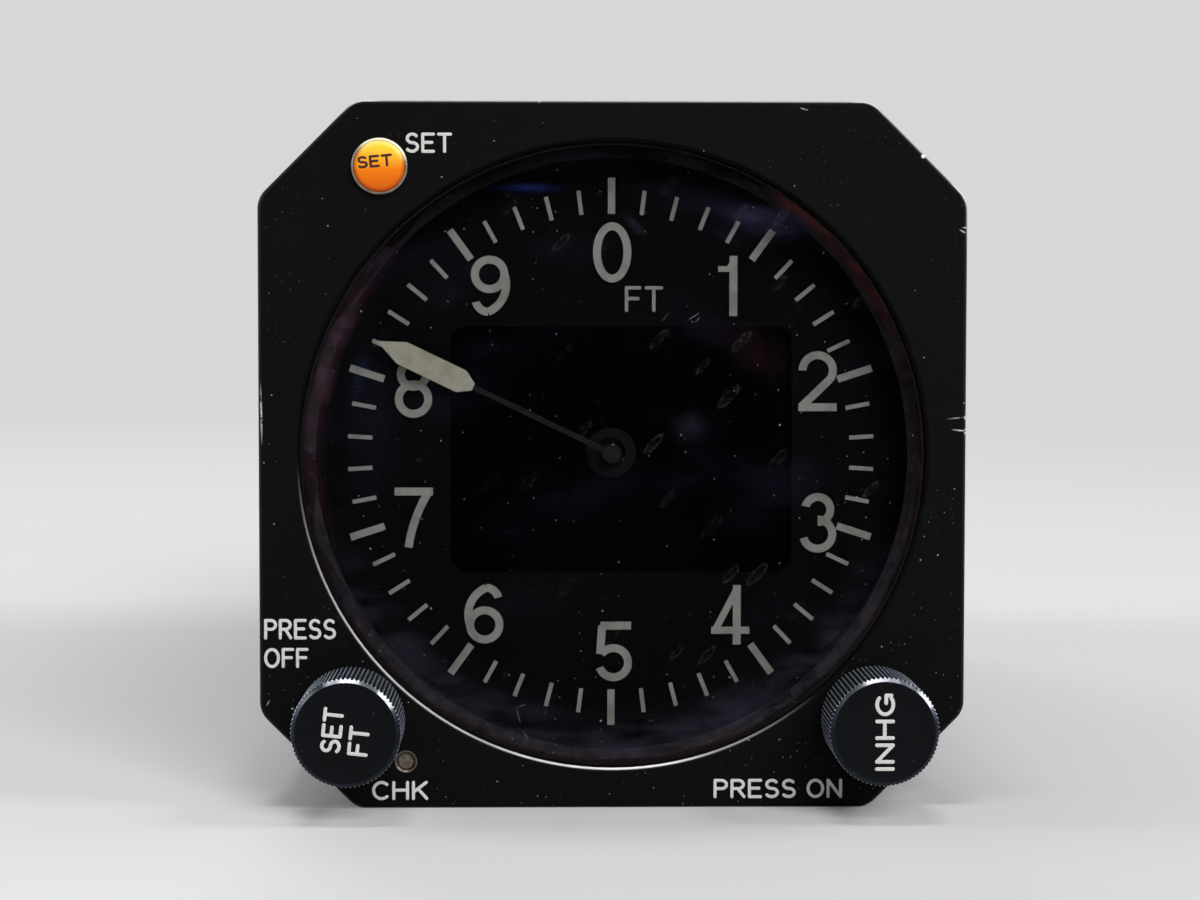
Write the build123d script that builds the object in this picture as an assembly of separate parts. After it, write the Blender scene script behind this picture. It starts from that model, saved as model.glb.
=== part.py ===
from build123d import *
from math import acos, cos, pi, radians, sin, sqrt, tan
import os

os.makedirs("parts", exist_ok=True)

# Frame: X to the right, Y into the panel, Z up. The dial's axis meets the bezel's back face,
# the plane of the panel, at the origin. Depths are Y values. Lengths are in millimetres.

# General clearances
slip = 0.1  # between a piece and the place it slides into
running = 0.04  # radial, between a shaft and its bearing
side_count = 4
cut_over = 1.0  # how far a cut starts outside the solid

# Bezel
bezel_width = 82.8
bezel_cut = 11.3  # leg of each cut corner
bezel_thickness = 7.0
corner_round = 3.0
edge_break = 0.4
step_height = 1.0  # locating step behind the bezel
spigot_length = 8.0  # part of the bezel that enters the case
front = -bezel_thickness
bezel_half = bezel_width / 2

# Case
case_inset = 1.3  # the case's sides lie this far inside the bezel's
case_width = bezel_width - 2 * case_inset
case_cut = 9.6
case_wall = 1.2
case_rear = 177.5

# Window
bezel_side = 4.65  # bezel left beside the window
ledge_width = 1.85
window_radius = bezel_half - bezel_side
ledge_radius = window_radius - ledge_width
ledge_thickness = 2.0
glass_recess = 0.8
glass_thickness = 2.7
glass_bevel = 0.35
seal_thickness = 0.3
glass_front = front + glass_recess
ledge_front = glass_front + glass_thickness + seal_thickness
ledge_back = ledge_front + ledge_thickness

# Dial
dial_depth = 8.7  # dial face behind the bezel's front face
dial_thickness = 0.8
dial_bore_radius = window_radius + slip / 2
spacer_wall = 1.5
print_thickness = 0.1
tick_count = 50
ticks_per_number = 5
minor_margin = 3.3  # from the ledge's edge in to the short ticks
minor_length = 2.9
minor_width = 0.5
major_margin = 2.0
major_length = 4.3
major_width = 0.87
minor_outer = ledge_radius - minor_margin
minor_inner = minor_outer - minor_length
major_outer = ledge_radius - major_margin
major_inner = major_outer - major_length
dial_face = front + dial_depth
dial_back = dial_face + dial_thickness

# Numerals: height, width and stroke, then each one's direction in degrees clockwise from the top
# and how far its centre lies inside the short ticks
numeral_height = 7.2
numeral_width = 4.6
numeral_stroke = 0.95
numeral_places = {
    "0": (0.2, 4.7),
    "1": (34.6, 4.4),
    "2": (70.9, 2.45),
    "3": (108.8, 2.4),
    "4": (143.7, 4.4),
    "5": (179.3, 4.7),
    "6": (218.1, 4.05),
    "7": (251.8, 3.75),
    "8": (288.2, 3.75),
    "9": (323.9, 3.95),
}

# Display seen through the dial
window_width = 41.0
window_height = 29.6
window_corner = 2.0
window_x = 1.2
window_z = 0.35
display_margin = 3.0
panel_thickness = 1.8
backlight_thickness = 2.0
board_thickness = 1.6
panel_back = dial_back + panel_thickness
board_front = panel_back + backlight_thickness
board_back = board_front + board_thickness
post_radius = 1.5
post_inset = 3.8  # from the dial's bore in to the posts
post_angle = 45.0

# Pointer, its reading at rest clockwise from the top, and its shaft
pointer_reading = 295.65
pointer_margin = 3.9  # from the ledge's edge in to the tip
pointer_thickness = 0.4
pointer_gap = 1.9  # between the pointer and the dial face
paddle_width = 2.83
paddle_length = 12.7
paddle_tip_length = 3.3
paddle_heel_length = 1.6
paddle_heel_width = 0.9
arm_width = 0.65
shaft_radius = 0.75
cap_radius = 1.1
cap_thickness = 0.5
pointer_tip = ledge_radius - pointer_margin
pointer_back = dial_face - pointer_gap
pointer_front = pointer_back - pointer_thickness

# Bearing tube around the pointer shaft
tube_flange_radius = 3.0
tube_flange = 0.6
tube_radius = 2.6
tube_bore = 1.76
tube_tail = 4.0
tube_nut_thickness = 2.0
tube_nut_radius = 4.4
bearing_length = 3.0
bearing_inset = 1.0
tube_front = dial_back - tube_flange
tube_back = board_back + tube_tail

# Drive: an involute gear pair turned by a small motor
gear_module = 0.4
gear_teeth = 64
pinion_teeth = 16
pressure_angle = radians(20)
backlash = 0.06
addendum = 0.85  # in modules
dedendum = 1.2
flank_steps = 4
gear_thickness = 2.0
gear_hub_radius = 3.0
pinion_extra = 0.5
gear_to_bearing = 0.3
plate_thickness = 2.5
standoff_length = 11.0
bearing_flange = 0.4
rear_bearing_radius = 2.5
motor_radius = 7.5
motor_length = 20.0
motor_pilot_radius = 3.0
motor_screw_offset = 5.2
motor_round = 1.0
motor_shaft_reach = 10.0
motor_end_gap = 1.0
shaft_tail = 1.0  # pointer shaft behind the plate
spigot_back = step_height + spigot_length
plate_front = spigot_back + standoff_length
plate_back = plate_front + plate_thickness
gear_back = plate_front - bearing_flange - gear_to_bearing - gear_thickness
gear_front = gear_back - gear_thickness
pitch_gear = gear_module * gear_teeth / 2
pitch_pinion = gear_module * pinion_teeth / 2
centre_distance = pitch_gear + pitch_pinion

# Standoffs between the bezel and the drive plate, and their screws
standoff_inset = 4.8  # from the case's side
standoff_rise = 17.6  # from the case's top and bottom
standoff_x = case_width / 2 - standoff_inset
standoff_z = case_width / 2 - standoff_rise
standoff_radius = 2.2
stud_radius = 1.2
stud_length = 4.5
screw_radius = 1.2
screw_head_radius = 2.0
screw_head_height = 1.4
screw_grip = 3.0

# Knobs
knob_side_inset = 10.9  # from the bezel's side
knob_bottom_inset = 10.8
knob_radius = 6.26
knob_projection = 12.7
knob_travel = 0.8
knob_stop_gap = 0.4  # left between knob and bezel when it is pushed home
knob_teeth = 76
knob_tooth_depth = 0.2
knob_chamfer = 0.5
knob_collar = 0.8  # plain band at the back
knob_recess_radius = 5.0
knob_recess = 3.2
knob_front_wall = 2.1
knob_shaft_radius = 1.5875
knob_x = bezel_half - knob_side_inset
knob_z = knob_bottom_inset - bezel_half
knob_front = front - knob_projection
knob_back = front - knob_travel - knob_stop_gap

# Encoders behind the knobs
bushing_radius = 3.2
bushing_proud = 2.6
nut_thickness = 1.6
nut_radius = 4.5
encoder_radius = 3.8
encoder_seat = 4.0  # bezel thickness left under the encoder
encoder_length = 17.0
encoder_end_wall = 1.0
plunger_radius = 2.5
plunger_thickness = 2.0
plunger_stem = 1.0
plunger_play = 1.0  # free space in front of the plunger
plunger_stop_gap = 0.2
pocket_clearance = 0.2
set_screw_radius = 1.0
set_screw_length = 3.0
pocket_floor = front + encoder_seat
encoder_back = pocket_floor + encoder_length
cavity_back = encoder_back - encoder_end_wall
plunger_front = cavity_back - plunger_stop_gap - knob_travel - plunger_stem - plunger_thickness
cavity_front = plunger_front - plunger_play

# Lamp
lamp_side_inset = 14.23
lamp_top_inset = 7.67
lamp_rim_radius = 3.28
lamp_rim_round = 0.2
lamp_lens_radius = 3.0
lamp_barrel_radius = 2.9
lamp_bore_radius = 2.4
lamp_rim_height = 0.9
lamp_socket = 1.0
lamp_dome = 0.25
lamp_dome_round = 0.45
lamp_length = 17.0
lamp_end_wall = 2.0
led_radius = 2.3
led_length = 6.0
lamp_nut_radius = 4.05
lamp_nut_thickness = 1.8
lamp_x = lamp_side_inset - bezel_half
lamp_z = bezel_half - lamp_top_inset
lamp_front = front - lamp_rim_height

# Test button
test_side_inset = 17.1
test_bottom_inset = 5.5
test_hole_radius = 1.32
test_button_radius = 0.92
test_bushing_wall = 0.27
test_bushing_bevel = 0.2
test_recess = 0.6
test_bushing_recess = 0.05
test_travel = 0.5
test_flange_radius = 1.5
test_flange = 0.5
test_bushing_flange_radius = 2.15
test_bushing_flange = 0.8
test_switch_radius = 2.2
test_switch_length = 8.8
test_flange_gap = 0.3
test_switch_gap = 0.1  # left when the button is pushed home
test_x = test_side_inset - bezel_half
test_z = test_bottom_inset - bezel_half

# Countersunk screws through the case's sides
flat_head_radius = 2.3
flat_screw_length = 3.6
bezel_screw_offset = 14.0
rear_screw_offset = 20.0

# Rear plate
gasket_thickness = 0.5
rear_plate_thickness = 3.0
rear_spigot_length = 8.0
rear_spigot_wall = 5.5
rear_front = case_rear + gasket_thickness
rear_back = rear_front + rear_plate_thickness
rear_spigot_front = case_rear - rear_spigot_length

# Rear connector
connector_z = 14.0
connector_flange = 31.0
connector_flange_thickness = 2.5
connector_radius = 12.3
connector_bore = 11.2
connector_length = 12.5
connector_tail = 6.0
connector_screw_pitch = 24.6
insert_recess = 10.0
pin_radius = 0.5
pin_length = 21.0
pin_recess = 5.0
pin_ring_step = 3.8
pin_ring_counts = (1, 6, 12)
connector_front = rear_back + connector_flange_thickness
connector_mouth = connector_front + connector_length
insert_face = connector_mouth - insert_recess

# Air ports
port_x = 18.0
port_z = -20.0
port_radius = 5.56
port_length = 12.0
port_hex_radius = 8.2
port_hex_thickness = 5.0
port_bore = 2.2
port_cone_length = 2.5
port_cone_radius = 3.4
port_tail_radius = 5.0
port_tail = 4.0
port_nipple_radius = 2.9
port_nipple = 8.0
port_seal_radius = 7.6
port_seal_thickness = 0.8

# Boards, rails and air sensors
rail_thickness = 4.0
rail_height = 38.0
rail_slot_depth = 1.5
rail_slot_start = 1.0
board_z = 12.0
board_start = 46.0
board_end = 160.0
sensor_width = 22.0
sensor_length = 24.0
sensor_height = 14.0
sensor_start = 132.0
sensor_round = 1.0
sensor_wall = 4.0
sensor_nipple = 6.0
line_wall = 1.2
line_gap = 0.3
ribbon_width = 18.0
ribbon_thickness = 0.5
ribbon_z = 30.0
ribbon_bend = 3.0
ribbon_drop = 53.0
ribbon_slot_gap = 1.5
plug_size = 4.0
plug_width = 3.0
plug_overhang = 1.0
harness_radius = 2.8
harness_plug_width = 24.0
harness_plug_length = 10.0
harness_plug_height = 6.0
harness_plug_end = 156.0

# Parts on the boards: width, length and height, then the pitch of those in a row
large_chip = (22.0, 22.0, 3.0)
memory_chip = (16.0, 12.0, 2.5)
memory_pitch = 20.0
small_chip = (6.0, 10.0, 2.0)
small_pitch = 12.0
transformer = (20.0, 22.0, 14.0)
regulator = (11.0, 8.0, 6.0)
regulator_pitch = 16.0
can_radius = 5.5
can_height = 13.0
can_pitch = 15.0
part_column = 15.0  # from the board's middle line to the two columns of parts
front_row = -10.0  # from the board's middle
rear_row = 26.0


def depth(y):
    """Plane facing the viewer at depth y, with its axes along X and Z."""
    return Plane(origin=(0, y, 0), x_dir=(1, 0, 0), z_dir=(0, -1, 0))


def slab(sketch, near, far):
    """The sketch, drawn in X and Z, carried from depth near to depth far."""
    return extrude(depth(near) * sketch, amount=far - near, dir=(0, 1, 0))


def disc(radius, x=0, z=0):
    return Pos(x, z) * Circle(radius)


def rod(radius, near, far, x=0, z=0):
    return slab(disc(radius, x, z), near, far)


def block(x_range, y_range, z_range):
    size = [high - low for low, high in (x_range, y_range, z_range)]
    middle = [(high + low) / 2 for low, high in (x_range, y_range, z_range)]
    return Pos(*middle) * Box(*size)


def cut_square(width, cut, inset=0, rounding=0):
    """A square with cut corners, drawn inwards by inset with all its sides parallel."""
    half = width / 2 - inset
    flat = half - (cut - inset * (2 - sqrt(2)))
    corners = [
        (half, flat), (flat, half), (-flat, half), (-half, flat),
        (-half, -flat), (-flat, -half), (flat, -half), (half, -flat),
    ]
    outline = Polygon(*corners, align=None)
    return fillet(outline.vertices(), rounding) if rounding else outline


def case_outline(inset=0):
    return cut_square(case_width, case_cut, inset)


def hexagon(radius, x=0, z=0):
    return Pos(x, z) * RegularPolygon(radius, 6)


def mirrored_pair(x, z):
    return ((-x, z), (x, z))


def rectangle_points(x, z):
    return ((-x, -z), (x, -z), (x, z), (-x, z))


def flat_screw(grow=0):
    """Countersunk screw with its head's face on the XY plane, pointing down."""
    head = Pos(0, 0, -case_wall / 2) * Cone(screw_radius + grow, flat_head_radius + grow, case_wall)
    shank = Pos(0, 0, -(case_wall + flat_screw_length) / 2) * Cylinder(
        screw_radius + grow, case_wall + flat_screw_length
    )
    return head + shank


def side_screws(offset, y, grow=0):
    """Two countersunk screws through each of the case's four sides."""
    screws = []
    for side in range(side_count):
        for x in (-offset, offset):
            screws.append(Rot(0, 360 / side_count * side, 0) * Pos(x, y, case_width / 2) * flat_screw(grow))
    return screws


def pan_screw(x, z, face, length):
    """Pan-head screw whose head lies behind the face and whose shank points forwards."""
    head = fillet(
        rod(screw_head_radius, face, face + screw_head_height, x, z).edges().group_by(Axis.Y)[-1],
        screw_head_height * 0.4,
    )
    return head + rod(screw_radius, face - length, face, x, z)


# Front of the unit

bezel_screw_depth = step_height + spigot_length / 2
rear_screw_depth = case_rear - rear_spigot_length / 2
spigot_inset = case_wall + slip


def make_bezel():
    outline = cut_square(bezel_width, bezel_cut, rounding=corner_round)
    flange = slab(outline, front, 0)
    flange = chamfer(flange.edges().group_by(Axis.Y)[0], edge_break)
    body = flange + slab(case_outline(-slip), 0, step_height)
    body += slab(case_outline(spigot_inset), step_height, spigot_back)
    body -= rod(window_radius, front, ledge_front)
    mouth = body.edges().filter_by(GeomType.CIRCLE).group_by(Axis.Y)[0]
    body = chamfer(mouth.sort_by(SortBy.LENGTH)[-1], edge_break)
    body -= rod(ledge_radius, ledge_front, ledge_back)
    body -= rod(dial_bore_radius, ledge_back, spigot_back)
    for x, z in mirrored_pair(knob_x, knob_z):
        body -= rod(bushing_radius + slip, front, pocket_floor, x, z)
        body -= rod(encoder_radius + pocket_clearance, pocket_floor, spigot_back, x, z)
    body -= rod(lamp_barrel_radius + slip, front, pocket_floor, lamp_x, lamp_z)
    body -= rod(lamp_nut_radius + pocket_clearance, pocket_floor, spigot_back, lamp_x, lamp_z)
    body -= rod(test_hole_radius, front, pocket_floor, test_x, test_z)
    body -= rod(test_switch_radius + slip, pocket_floor, spigot_back, test_x, test_z)
    for x, z in rectangle_points(standoff_x, standoff_z):
        body -= rod(stud_radius + slip, spigot_back - stud_length - slip, spigot_back, x, z)
    for screw in side_screws(bezel_screw_offset, bezel_screw_depth, running):
        body -= screw
    return body


def make_glass():
    disc_edge = window_radius - slip
    pane = rod(disc_edge, glass_front, glass_front + glass_thickness)
    return chamfer(pane.edges().group_by(Axis.Y)[0], glass_bevel)


def make_glass_seal():
    outline = disc(window_radius - 2 * slip) - disc(ledge_radius + slip)
    return slab(outline, ledge_front - seal_thickness, ledge_front)


def make_dial_spacer():
    outer = dial_bore_radius - slip
    return slab(disc(outer) - disc(outer - spacer_wall), ledge_back, dial_face)


def display_window():
    return Pos(window_x, window_z) * RectangleRounded(window_width, window_height, window_corner)


def make_dial():
    return slab(disc(dial_bore_radius - slip) - display_window(), dial_face, dial_back)


def make_ticks():
    marks = []
    for index in range(tick_count):
        major = index % ticks_per_number == 0
        inner, outer, width = (
            (major_inner, major_outer, major_width) if major else (minor_inner, minor_outer, minor_width)
        )
        mark = Pos(0, (inner + outer) / 2) * Rectangle(width, outer - inner)
        mark = Rot(0, 0, -360 / tick_count * index) * mark
        marks.append(slab(mark, dial_face - print_thickness, dial_face))
    return marks


# Numerals are drawn with a pen of the stroke's width along lines and arcs. half_w and half_h
# reach from a numeral's centre to the pen's own line.
half_w = (numeral_width - numeral_stroke) / 2
half_h = (numeral_height - numeral_stroke) / 2
upper_bowl = numeral_height * 0.21
lower_bowl = numeral_height * 0.245


def pen(*lines, width=numeral_stroke):
    return Sketch() + [trace(line, width) for line in lines]


def bar(x, z, width, height):
    return Pos(x, z) * Rectangle(width, height)


def ring(radius, z):
    return disc(radius + numeral_stroke / 2, 0, z) - disc(radius - numeral_stroke / 2, 0, z)


def draw_zero():
    outer = Ellipse(numeral_width / 2, numeral_height / 2)
    return outer - Ellipse(half_w - numeral_stroke / 2, half_h - numeral_stroke / 2)


def draw_one():
    stem_x = numeral_width * 0.18
    flag = numeral_width * 0.4
    stem = bar(stem_x, 0, numeral_stroke, numeral_height)
    foot_z = half_h - numeral_stroke * 1.15
    foot = bar(stem_x - flag / 2, foot_z, flag, numeral_stroke * 0.7)
    top = (stem_x, numeral_height / 2)
    lip = Polygon((stem_x, foot_z), top, (stem_x - numeral_stroke, foot_z), align=None)
    return stem + foot + lip


def draw_two():
    centre = (0, half_h - half_w)
    bowl = CenterArc(centre, half_w, 180, -215)
    slope = Line(bowl @ 1, (-half_w, -half_h + numeral_stroke * 0.2))
    base = bar(0, -half_h, numeral_width, numeral_stroke)
    return pen(bowl, slope) + base


def draw_three():
    top = CenterArc((0, half_h - upper_bowl), upper_bowl, 165, -255)
    low = CenterArc((0, -half_h + lower_bowl), lower_bowl, 90, -255)
    return pen(top, low)


def draw_four():
    stem_x = numeral_width * 0.17
    shelf_z = -half_h * 0.6
    stem = bar(stem_x, 0, numeral_stroke, numeral_height)
    shelf = bar(0, shelf_z, numeral_width, numeral_stroke * 0.9)
    slope = Line((-half_w, shelf_z), (stem_x, half_h))
    return stem + shelf + pen(slope, width=numeral_stroke * 0.85)


def draw_five():
    side_x = -half_w * 0.75
    centre_z = -half_h + lower_bowl
    top = bar(0.15 * half_w, half_h, numeral_width * 0.8, numeral_stroke)
    side = Line((side_x, half_h), (-half_w * 0.88, centre_z + lower_bowl * 0.6))
    bowl = CenterArc((0, centre_z), lower_bowl, 145, -305)
    return top + pen(side, bowl)


def draw_six():
    centre_z = -half_h + lower_bowl
    back = ThreePointArc((-lower_bowl, centre_z), (-half_w * 0.72, half_h * 0.62), (half_w * 0.1, half_h))
    hook = ThreePointArc(back @ 1, (half_w * 0.62, half_h * 0.88), (half_w * 0.9, half_h * 0.62))
    return ring(lower_bowl, centre_z) + pen(back, hook)


def draw_seven():
    top = bar(0, half_h, numeral_width, numeral_stroke)
    leg = ThreePointArc((half_w, half_h), (half_w * 0.15, 0), (-half_w * 0.35, -half_h - numeral_stroke / 2))
    return top + pen(leg)


def draw_eight():
    return ring(upper_bowl, half_h - upper_bowl) + ring(lower_bowl, -half_h + lower_bowl)


def draw_nine():
    return Rot(0, 0, 180) * draw_six()


numeral_shapes = {
    "0": draw_zero, "1": draw_one, "2": draw_two, "3": draw_three, "4": draw_four,
    "5": draw_five, "6": draw_six, "7": draw_seven, "8": draw_eight, "9": draw_nine,
}


def make_numerals():
    marks = []
    for digit, (direction, inset) in numeral_places.items():
        radius = minor_inner - inset
        place = Pos(radius * sin(radians(direction)), radius * cos(radians(direction)))
        shape = place * numeral_shapes[digit]()
        marks.append(slab(shape, dial_face - print_thickness, dial_face))
    return marks


# Display behind the dial

display_width = window_width + 2 * display_margin
display_height = window_height + 2 * display_margin


def display_sheet(near, far):
    sheet = Pos(window_x, window_z) * Rectangle(display_width, display_height)
    return slab(sheet - disc(tube_radius + slip), near, far)


def post_points():
    circle = dial_bore_radius - post_inset
    angles = [radians(post_angle + 360 / side_count * k) for k in range(side_count)]
    return [(circle * cos(angle), circle * sin(angle)) for angle in angles]


def make_display_board():
    outline = disc(dial_bore_radius - pocket_clearance) - disc(tube_radius + slip)
    return slab(outline, board_front, board_back)


def make_posts(near, far):
    return [rod(post_radius, near, far, x, z) for x, z in post_points()]


# Pointer and its drive

def pointer_frame():
    """Turns a shape drawn pointing up to the pointer's reading at rest."""
    return Rot(0, 0, -pointer_reading)


def make_pointer():
    heel = pointer_tip - paddle_length
    half = paddle_width / 2
    paddle = Polygon(
        (0, pointer_tip), (-half, pointer_tip - paddle_tip_length), (-half, heel + paddle_heel_length),
        (-paddle_heel_width / 2, heel), (paddle_heel_width / 2, heel),
        (half, heel + paddle_heel_length), (half, pointer_tip - paddle_tip_length), align=None,
    )
    arm = Pos(0, (heel + paddle_heel_length) / 2) * Rectangle(arm_width, heel + paddle_heel_length)
    blade = paddle + arm + disc(cap_radius) - disc(shaft_radius + running / 2)
    return slab(pointer_frame() * blade, pointer_front, pointer_back)


def make_pointer_cap():
    cap = rod(cap_radius, pointer_front - cap_thickness, pointer_front)
    return cap - rod(shaft_radius + running / 2, pointer_front - cap_thickness / 2, pointer_front)


def make_pointer_shaft():
    return rod(shaft_radius, pointer_front - cap_thickness / 2, plate_back + shaft_tail)


def make_bearing_tube():
    bore = disc(tube_bore)
    flange = slab(disc(tube_flange_radius) - bore, tube_front, dial_back)
    return flange + slab(disc(tube_radius) - bore, dial_back, tube_back)


def make_front_bearing():
    outline = disc(tube_bore - running / 2) - disc(shaft_radius + running)
    start = tube_front + bearing_inset
    return slab(outline, start, start + bearing_length)


def make_tube_nut():
    outline = hexagon(tube_nut_radius) - disc(tube_radius + running / 2)
    return slab(outline, board_back, board_back + tube_nut_thickness)


def make_rear_bearing():
    bore = disc(shaft_radius + running)
    flange = slab(disc(gear_hub_radius) - bore, plate_front - bearing_flange, plate_front)
    return flange + slab(disc(rear_bearing_radius) - bore, plate_front, plate_back)


def involute(angle):
    return tan(angle) - angle


def tooth_half_angle(radius, pitch_radius, teeth):
    """Half the angle that a tooth takes up at this radius."""
    base_radius = pitch_radius * cos(pressure_angle)
    at_radius = acos(min(1.0, base_radius / radius))
    at_pitch = pi / 2 / teeth - backlash / 2 / pitch_radius
    return at_pitch + involute(pressure_angle) - involute(at_radius)


def gear_outline(teeth, turned):
    """Involute gear with one tooth on the direction turned, in radians from X."""
    pitch_radius = gear_module * teeth / 2
    root = pitch_radius - dedendum * gear_module
    tip = pitch_radius + addendum * gear_module
    flank = [root + (tip - root) * k / flank_steps for k in range(flank_steps + 1)]
    points = []
    for tooth in range(teeth):
        middle = turned + 2 * pi * tooth / teeth
        rising = [(r, middle - tooth_half_angle(r, pitch_radius, teeth)) for r in flank]
        falling = [(r, middle + tooth_half_angle(r, pitch_radius, teeth)) for r in reversed(flank)]
        points += [(r * cos(a), r * sin(a)) for r, a in rising + falling]
    return Polygon(*points, align=None)


def make_pointer_gear():
    bore = disc(shaft_radius + running / 2)
    wheel = slab(gear_outline(gear_teeth, 0) - bore, gear_front, gear_back)
    return wheel + slab(disc(gear_hub_radius) - bore, gear_back, gear_back + gear_thickness)


def make_motor_pinion():
    half_pitch = pi / pinion_teeth
    outline = gear_outline(pinion_teeth, pi + half_pitch) - disc(shaft_radius + running / 2)
    return slab(Pos(centre_distance, 0) * outline, gear_front - pinion_extra, gear_back + pinion_extra)


def make_motor_shaft():
    return rod(shaft_radius, gear_front - 2 * pinion_extra, plate_back + motor_shaft_reach, centre_distance)


def motor_screw_points():
    return ((centre_distance, -motor_screw_offset), (centre_distance, motor_screw_offset))


def make_drive_motor():
    can = rod(motor_radius, plate_back, plate_back + motor_length, centre_distance)
    can = fillet(can.edges().group_by(Axis.Y)[-1], motor_round)
    can += rod(motor_pilot_radius, plate_front, plate_back, centre_distance)
    hole_back = plate_back + motor_shaft_reach + motor_end_gap
    can -= rod(shaft_radius + running, plate_front, hole_back, centre_distance)
    for x, z in motor_screw_points():
        can -= rod(screw_radius + slip, plate_back, plate_back + screw_grip + slip, x, z)
    return can


def make_drive_plate():
    plate = slab(case_outline(spigot_inset + slip), plate_front, plate_back)
    plate -= rod(rear_bearing_radius + running / 2, plate_front, plate_back)
    plate -= rod(motor_pilot_radius + slip, plate_front, plate_back, centre_distance)
    for x, z in (*motor_screw_points(), *rectangle_points(standoff_x, standoff_z)):
        plate -= rod(screw_radius + slip, plate_front, plate_back, x, z)
    slot_size = [size + 2 * ribbon_slot_gap for size in (ribbon_width, ribbon_thickness)]
    ribbon_slot = Pos(0, ribbon_z) * Rectangle(*slot_size)
    return plate - slab(ribbon_slot, plate_front, plate_back)


def make_plate_standoffs():
    posts = []
    for x, z in rectangle_points(standoff_x, standoff_z):
        post = slab(hexagon(standoff_radius, x, z), spigot_back, plate_front)
        post += rod(stud_radius, spigot_back - stud_length, spigot_back, x, z)
        post -= rod(screw_radius + slip, plate_front - screw_grip - slip, plate_front, x, z)
        posts.append(post)
    return posts


# Knobs

def knurled_outline():
    """Circle with fine straight teeth all round it."""
    points = []
    for k in range(2 * knob_teeth):
        radius = knob_radius - (knob_tooth_depth if k % 2 else 0)
        angle = pi * k / knob_teeth
        points.append((radius * cos(angle), radius * sin(angle)))
    return Polygon(*points, align=None)


def make_knob(x):
    smooth = knob_radius - knob_tooth_depth
    nose = rod(smooth, knob_front, knob_front + knob_chamfer)
    nose = chamfer(nose.edges().group_by(Axis.Y)[0], knob_chamfer * 0.8)
    knob = nose + slab(knurled_outline(), knob_front + knob_chamfer, knob_back - knob_collar)
    knob += rod(smooth, knob_back - knob_collar, knob_back)
    knob -= rod(knob_recess_radius, knob_back - knob_recess, knob_back)
    knob -= rod(knob_shaft_radius + running / 2, knob_front + knob_front_wall, knob_back - knob_recess)
    knob = Pos(x, 0, knob_z) * knob
    return knob - set_screw(x, grow=running, length=knob_radius)


def set_screw(x, grow=0, length=set_screw_length):
    start = knob_shaft_radius + (0 if grow else running)
    centre_y = (knob_front + knob_front_wall + knob_back - knob_recess) / 2
    screw = Cylinder(set_screw_radius + grow, length, align=(Align.CENTER, Align.CENTER, Align.MAX))
    return Pos(x, centre_y, knob_z - start) * screw


def make_knob_shaft(x):
    return rod(knob_shaft_radius, knob_front + knob_front_wall + slip, plunger_front, x, knob_z)


def make_encoder(x):
    bushing_front = front - bushing_proud
    body = rod(bushing_radius, bushing_front, pocket_floor, x, knob_z)
    body += rod(encoder_radius, pocket_floor, encoder_back, x, knob_z)
    body -= rod(knob_shaft_radius + running, bushing_front, cavity_front, x, knob_z)
    return body - rod(plunger_radius + pocket_clearance, cavity_front, cavity_back, x, knob_z)


def make_plunger(x):
    disc_back = plunger_front + plunger_thickness
    head = rod(plunger_radius, plunger_front, disc_back, x, knob_z)
    return head + rod(plunger_radius / 2, disc_back, disc_back + plunger_stem, x, knob_z)


def make_encoder_nuts():
    nuts = []
    for x, z in mirrored_pair(knob_x, knob_z):
        outline = hexagon(nut_radius, x, z) - disc(bushing_radius + running / 2, x, z)
        nuts.append(slab(outline, front - nut_thickness, front))
    return nuts


# Lamp and test button

def make_lamp_body():
    socket_floor = lamp_front + lamp_socket
    rim = rod(lamp_rim_radius, lamp_front, front, lamp_x, lamp_z)
    body = fillet(rim.edges().group_by(Axis.Y)[0], lamp_rim_round)
    body += rod(lamp_barrel_radius, front, front + lamp_length, lamp_x, lamp_z)
    body -= rod(lamp_lens_radius + running / 2, lamp_front, socket_floor, lamp_x, lamp_z)
    return body - rod(lamp_bore_radius, socket_floor, front + lamp_length - lamp_end_wall, lamp_x, lamp_z)


def make_lamp_lens():
    lens = rod(lamp_lens_radius, lamp_front - lamp_dome, lamp_front + lamp_socket, lamp_x, lamp_z)
    return fillet(lens.edges().group_by(Axis.Y)[0], lamp_dome_round)


def make_lamp_led():
    return rod(led_radius, pocket_floor, pocket_floor + led_length, lamp_x, lamp_z)


def make_lamp_nut():
    bore = disc(lamp_barrel_radius + running / 2, lamp_x, lamp_z)
    outline = hexagon(lamp_nut_radius, lamp_x, lamp_z) - bore
    return slab(outline, pocket_floor, pocket_floor + lamp_nut_thickness)


def make_test_bushing():
    outer = test_hole_radius - running / 2
    bore = disc(outer - test_bushing_wall, test_x, test_z)
    tube = slab(disc(outer, test_x, test_z) - bore, front + test_bushing_recess, pocket_floor)
    tube = chamfer(tube.edges().group_by(Axis.Y)[0].sort_by(SortBy.LENGTH)[0], test_bushing_bevel)
    flange = disc(test_bushing_flange_radius, test_x, test_z) - bore
    return tube + slab(flange, pocket_floor, pocket_floor + test_bushing_flange)


test_flange_front = pocket_floor + test_bushing_flange + test_flange_gap
test_switch_front = test_flange_front + test_flange + test_travel + test_switch_gap


def make_test_button():
    stem = rod(test_button_radius, front + test_recess, test_flange_front, test_x, test_z)
    return stem + rod(test_flange_radius, test_flange_front, test_flange_front + test_flange, test_x, test_z)


def make_test_switch():
    return rod(test_switch_radius, test_switch_front, test_switch_front + test_switch_length, test_x, test_z)


# Case and rear plate

def make_case():
    tube = slab(case_outline() - case_outline(case_wall), step_height, case_rear)
    holes = side_screws(bezel_screw_offset, bezel_screw_depth, running)
    holes += side_screws(rear_screw_offset, rear_screw_depth, running)
    for hole in holes:
        tube -= hole
    return tube


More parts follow.
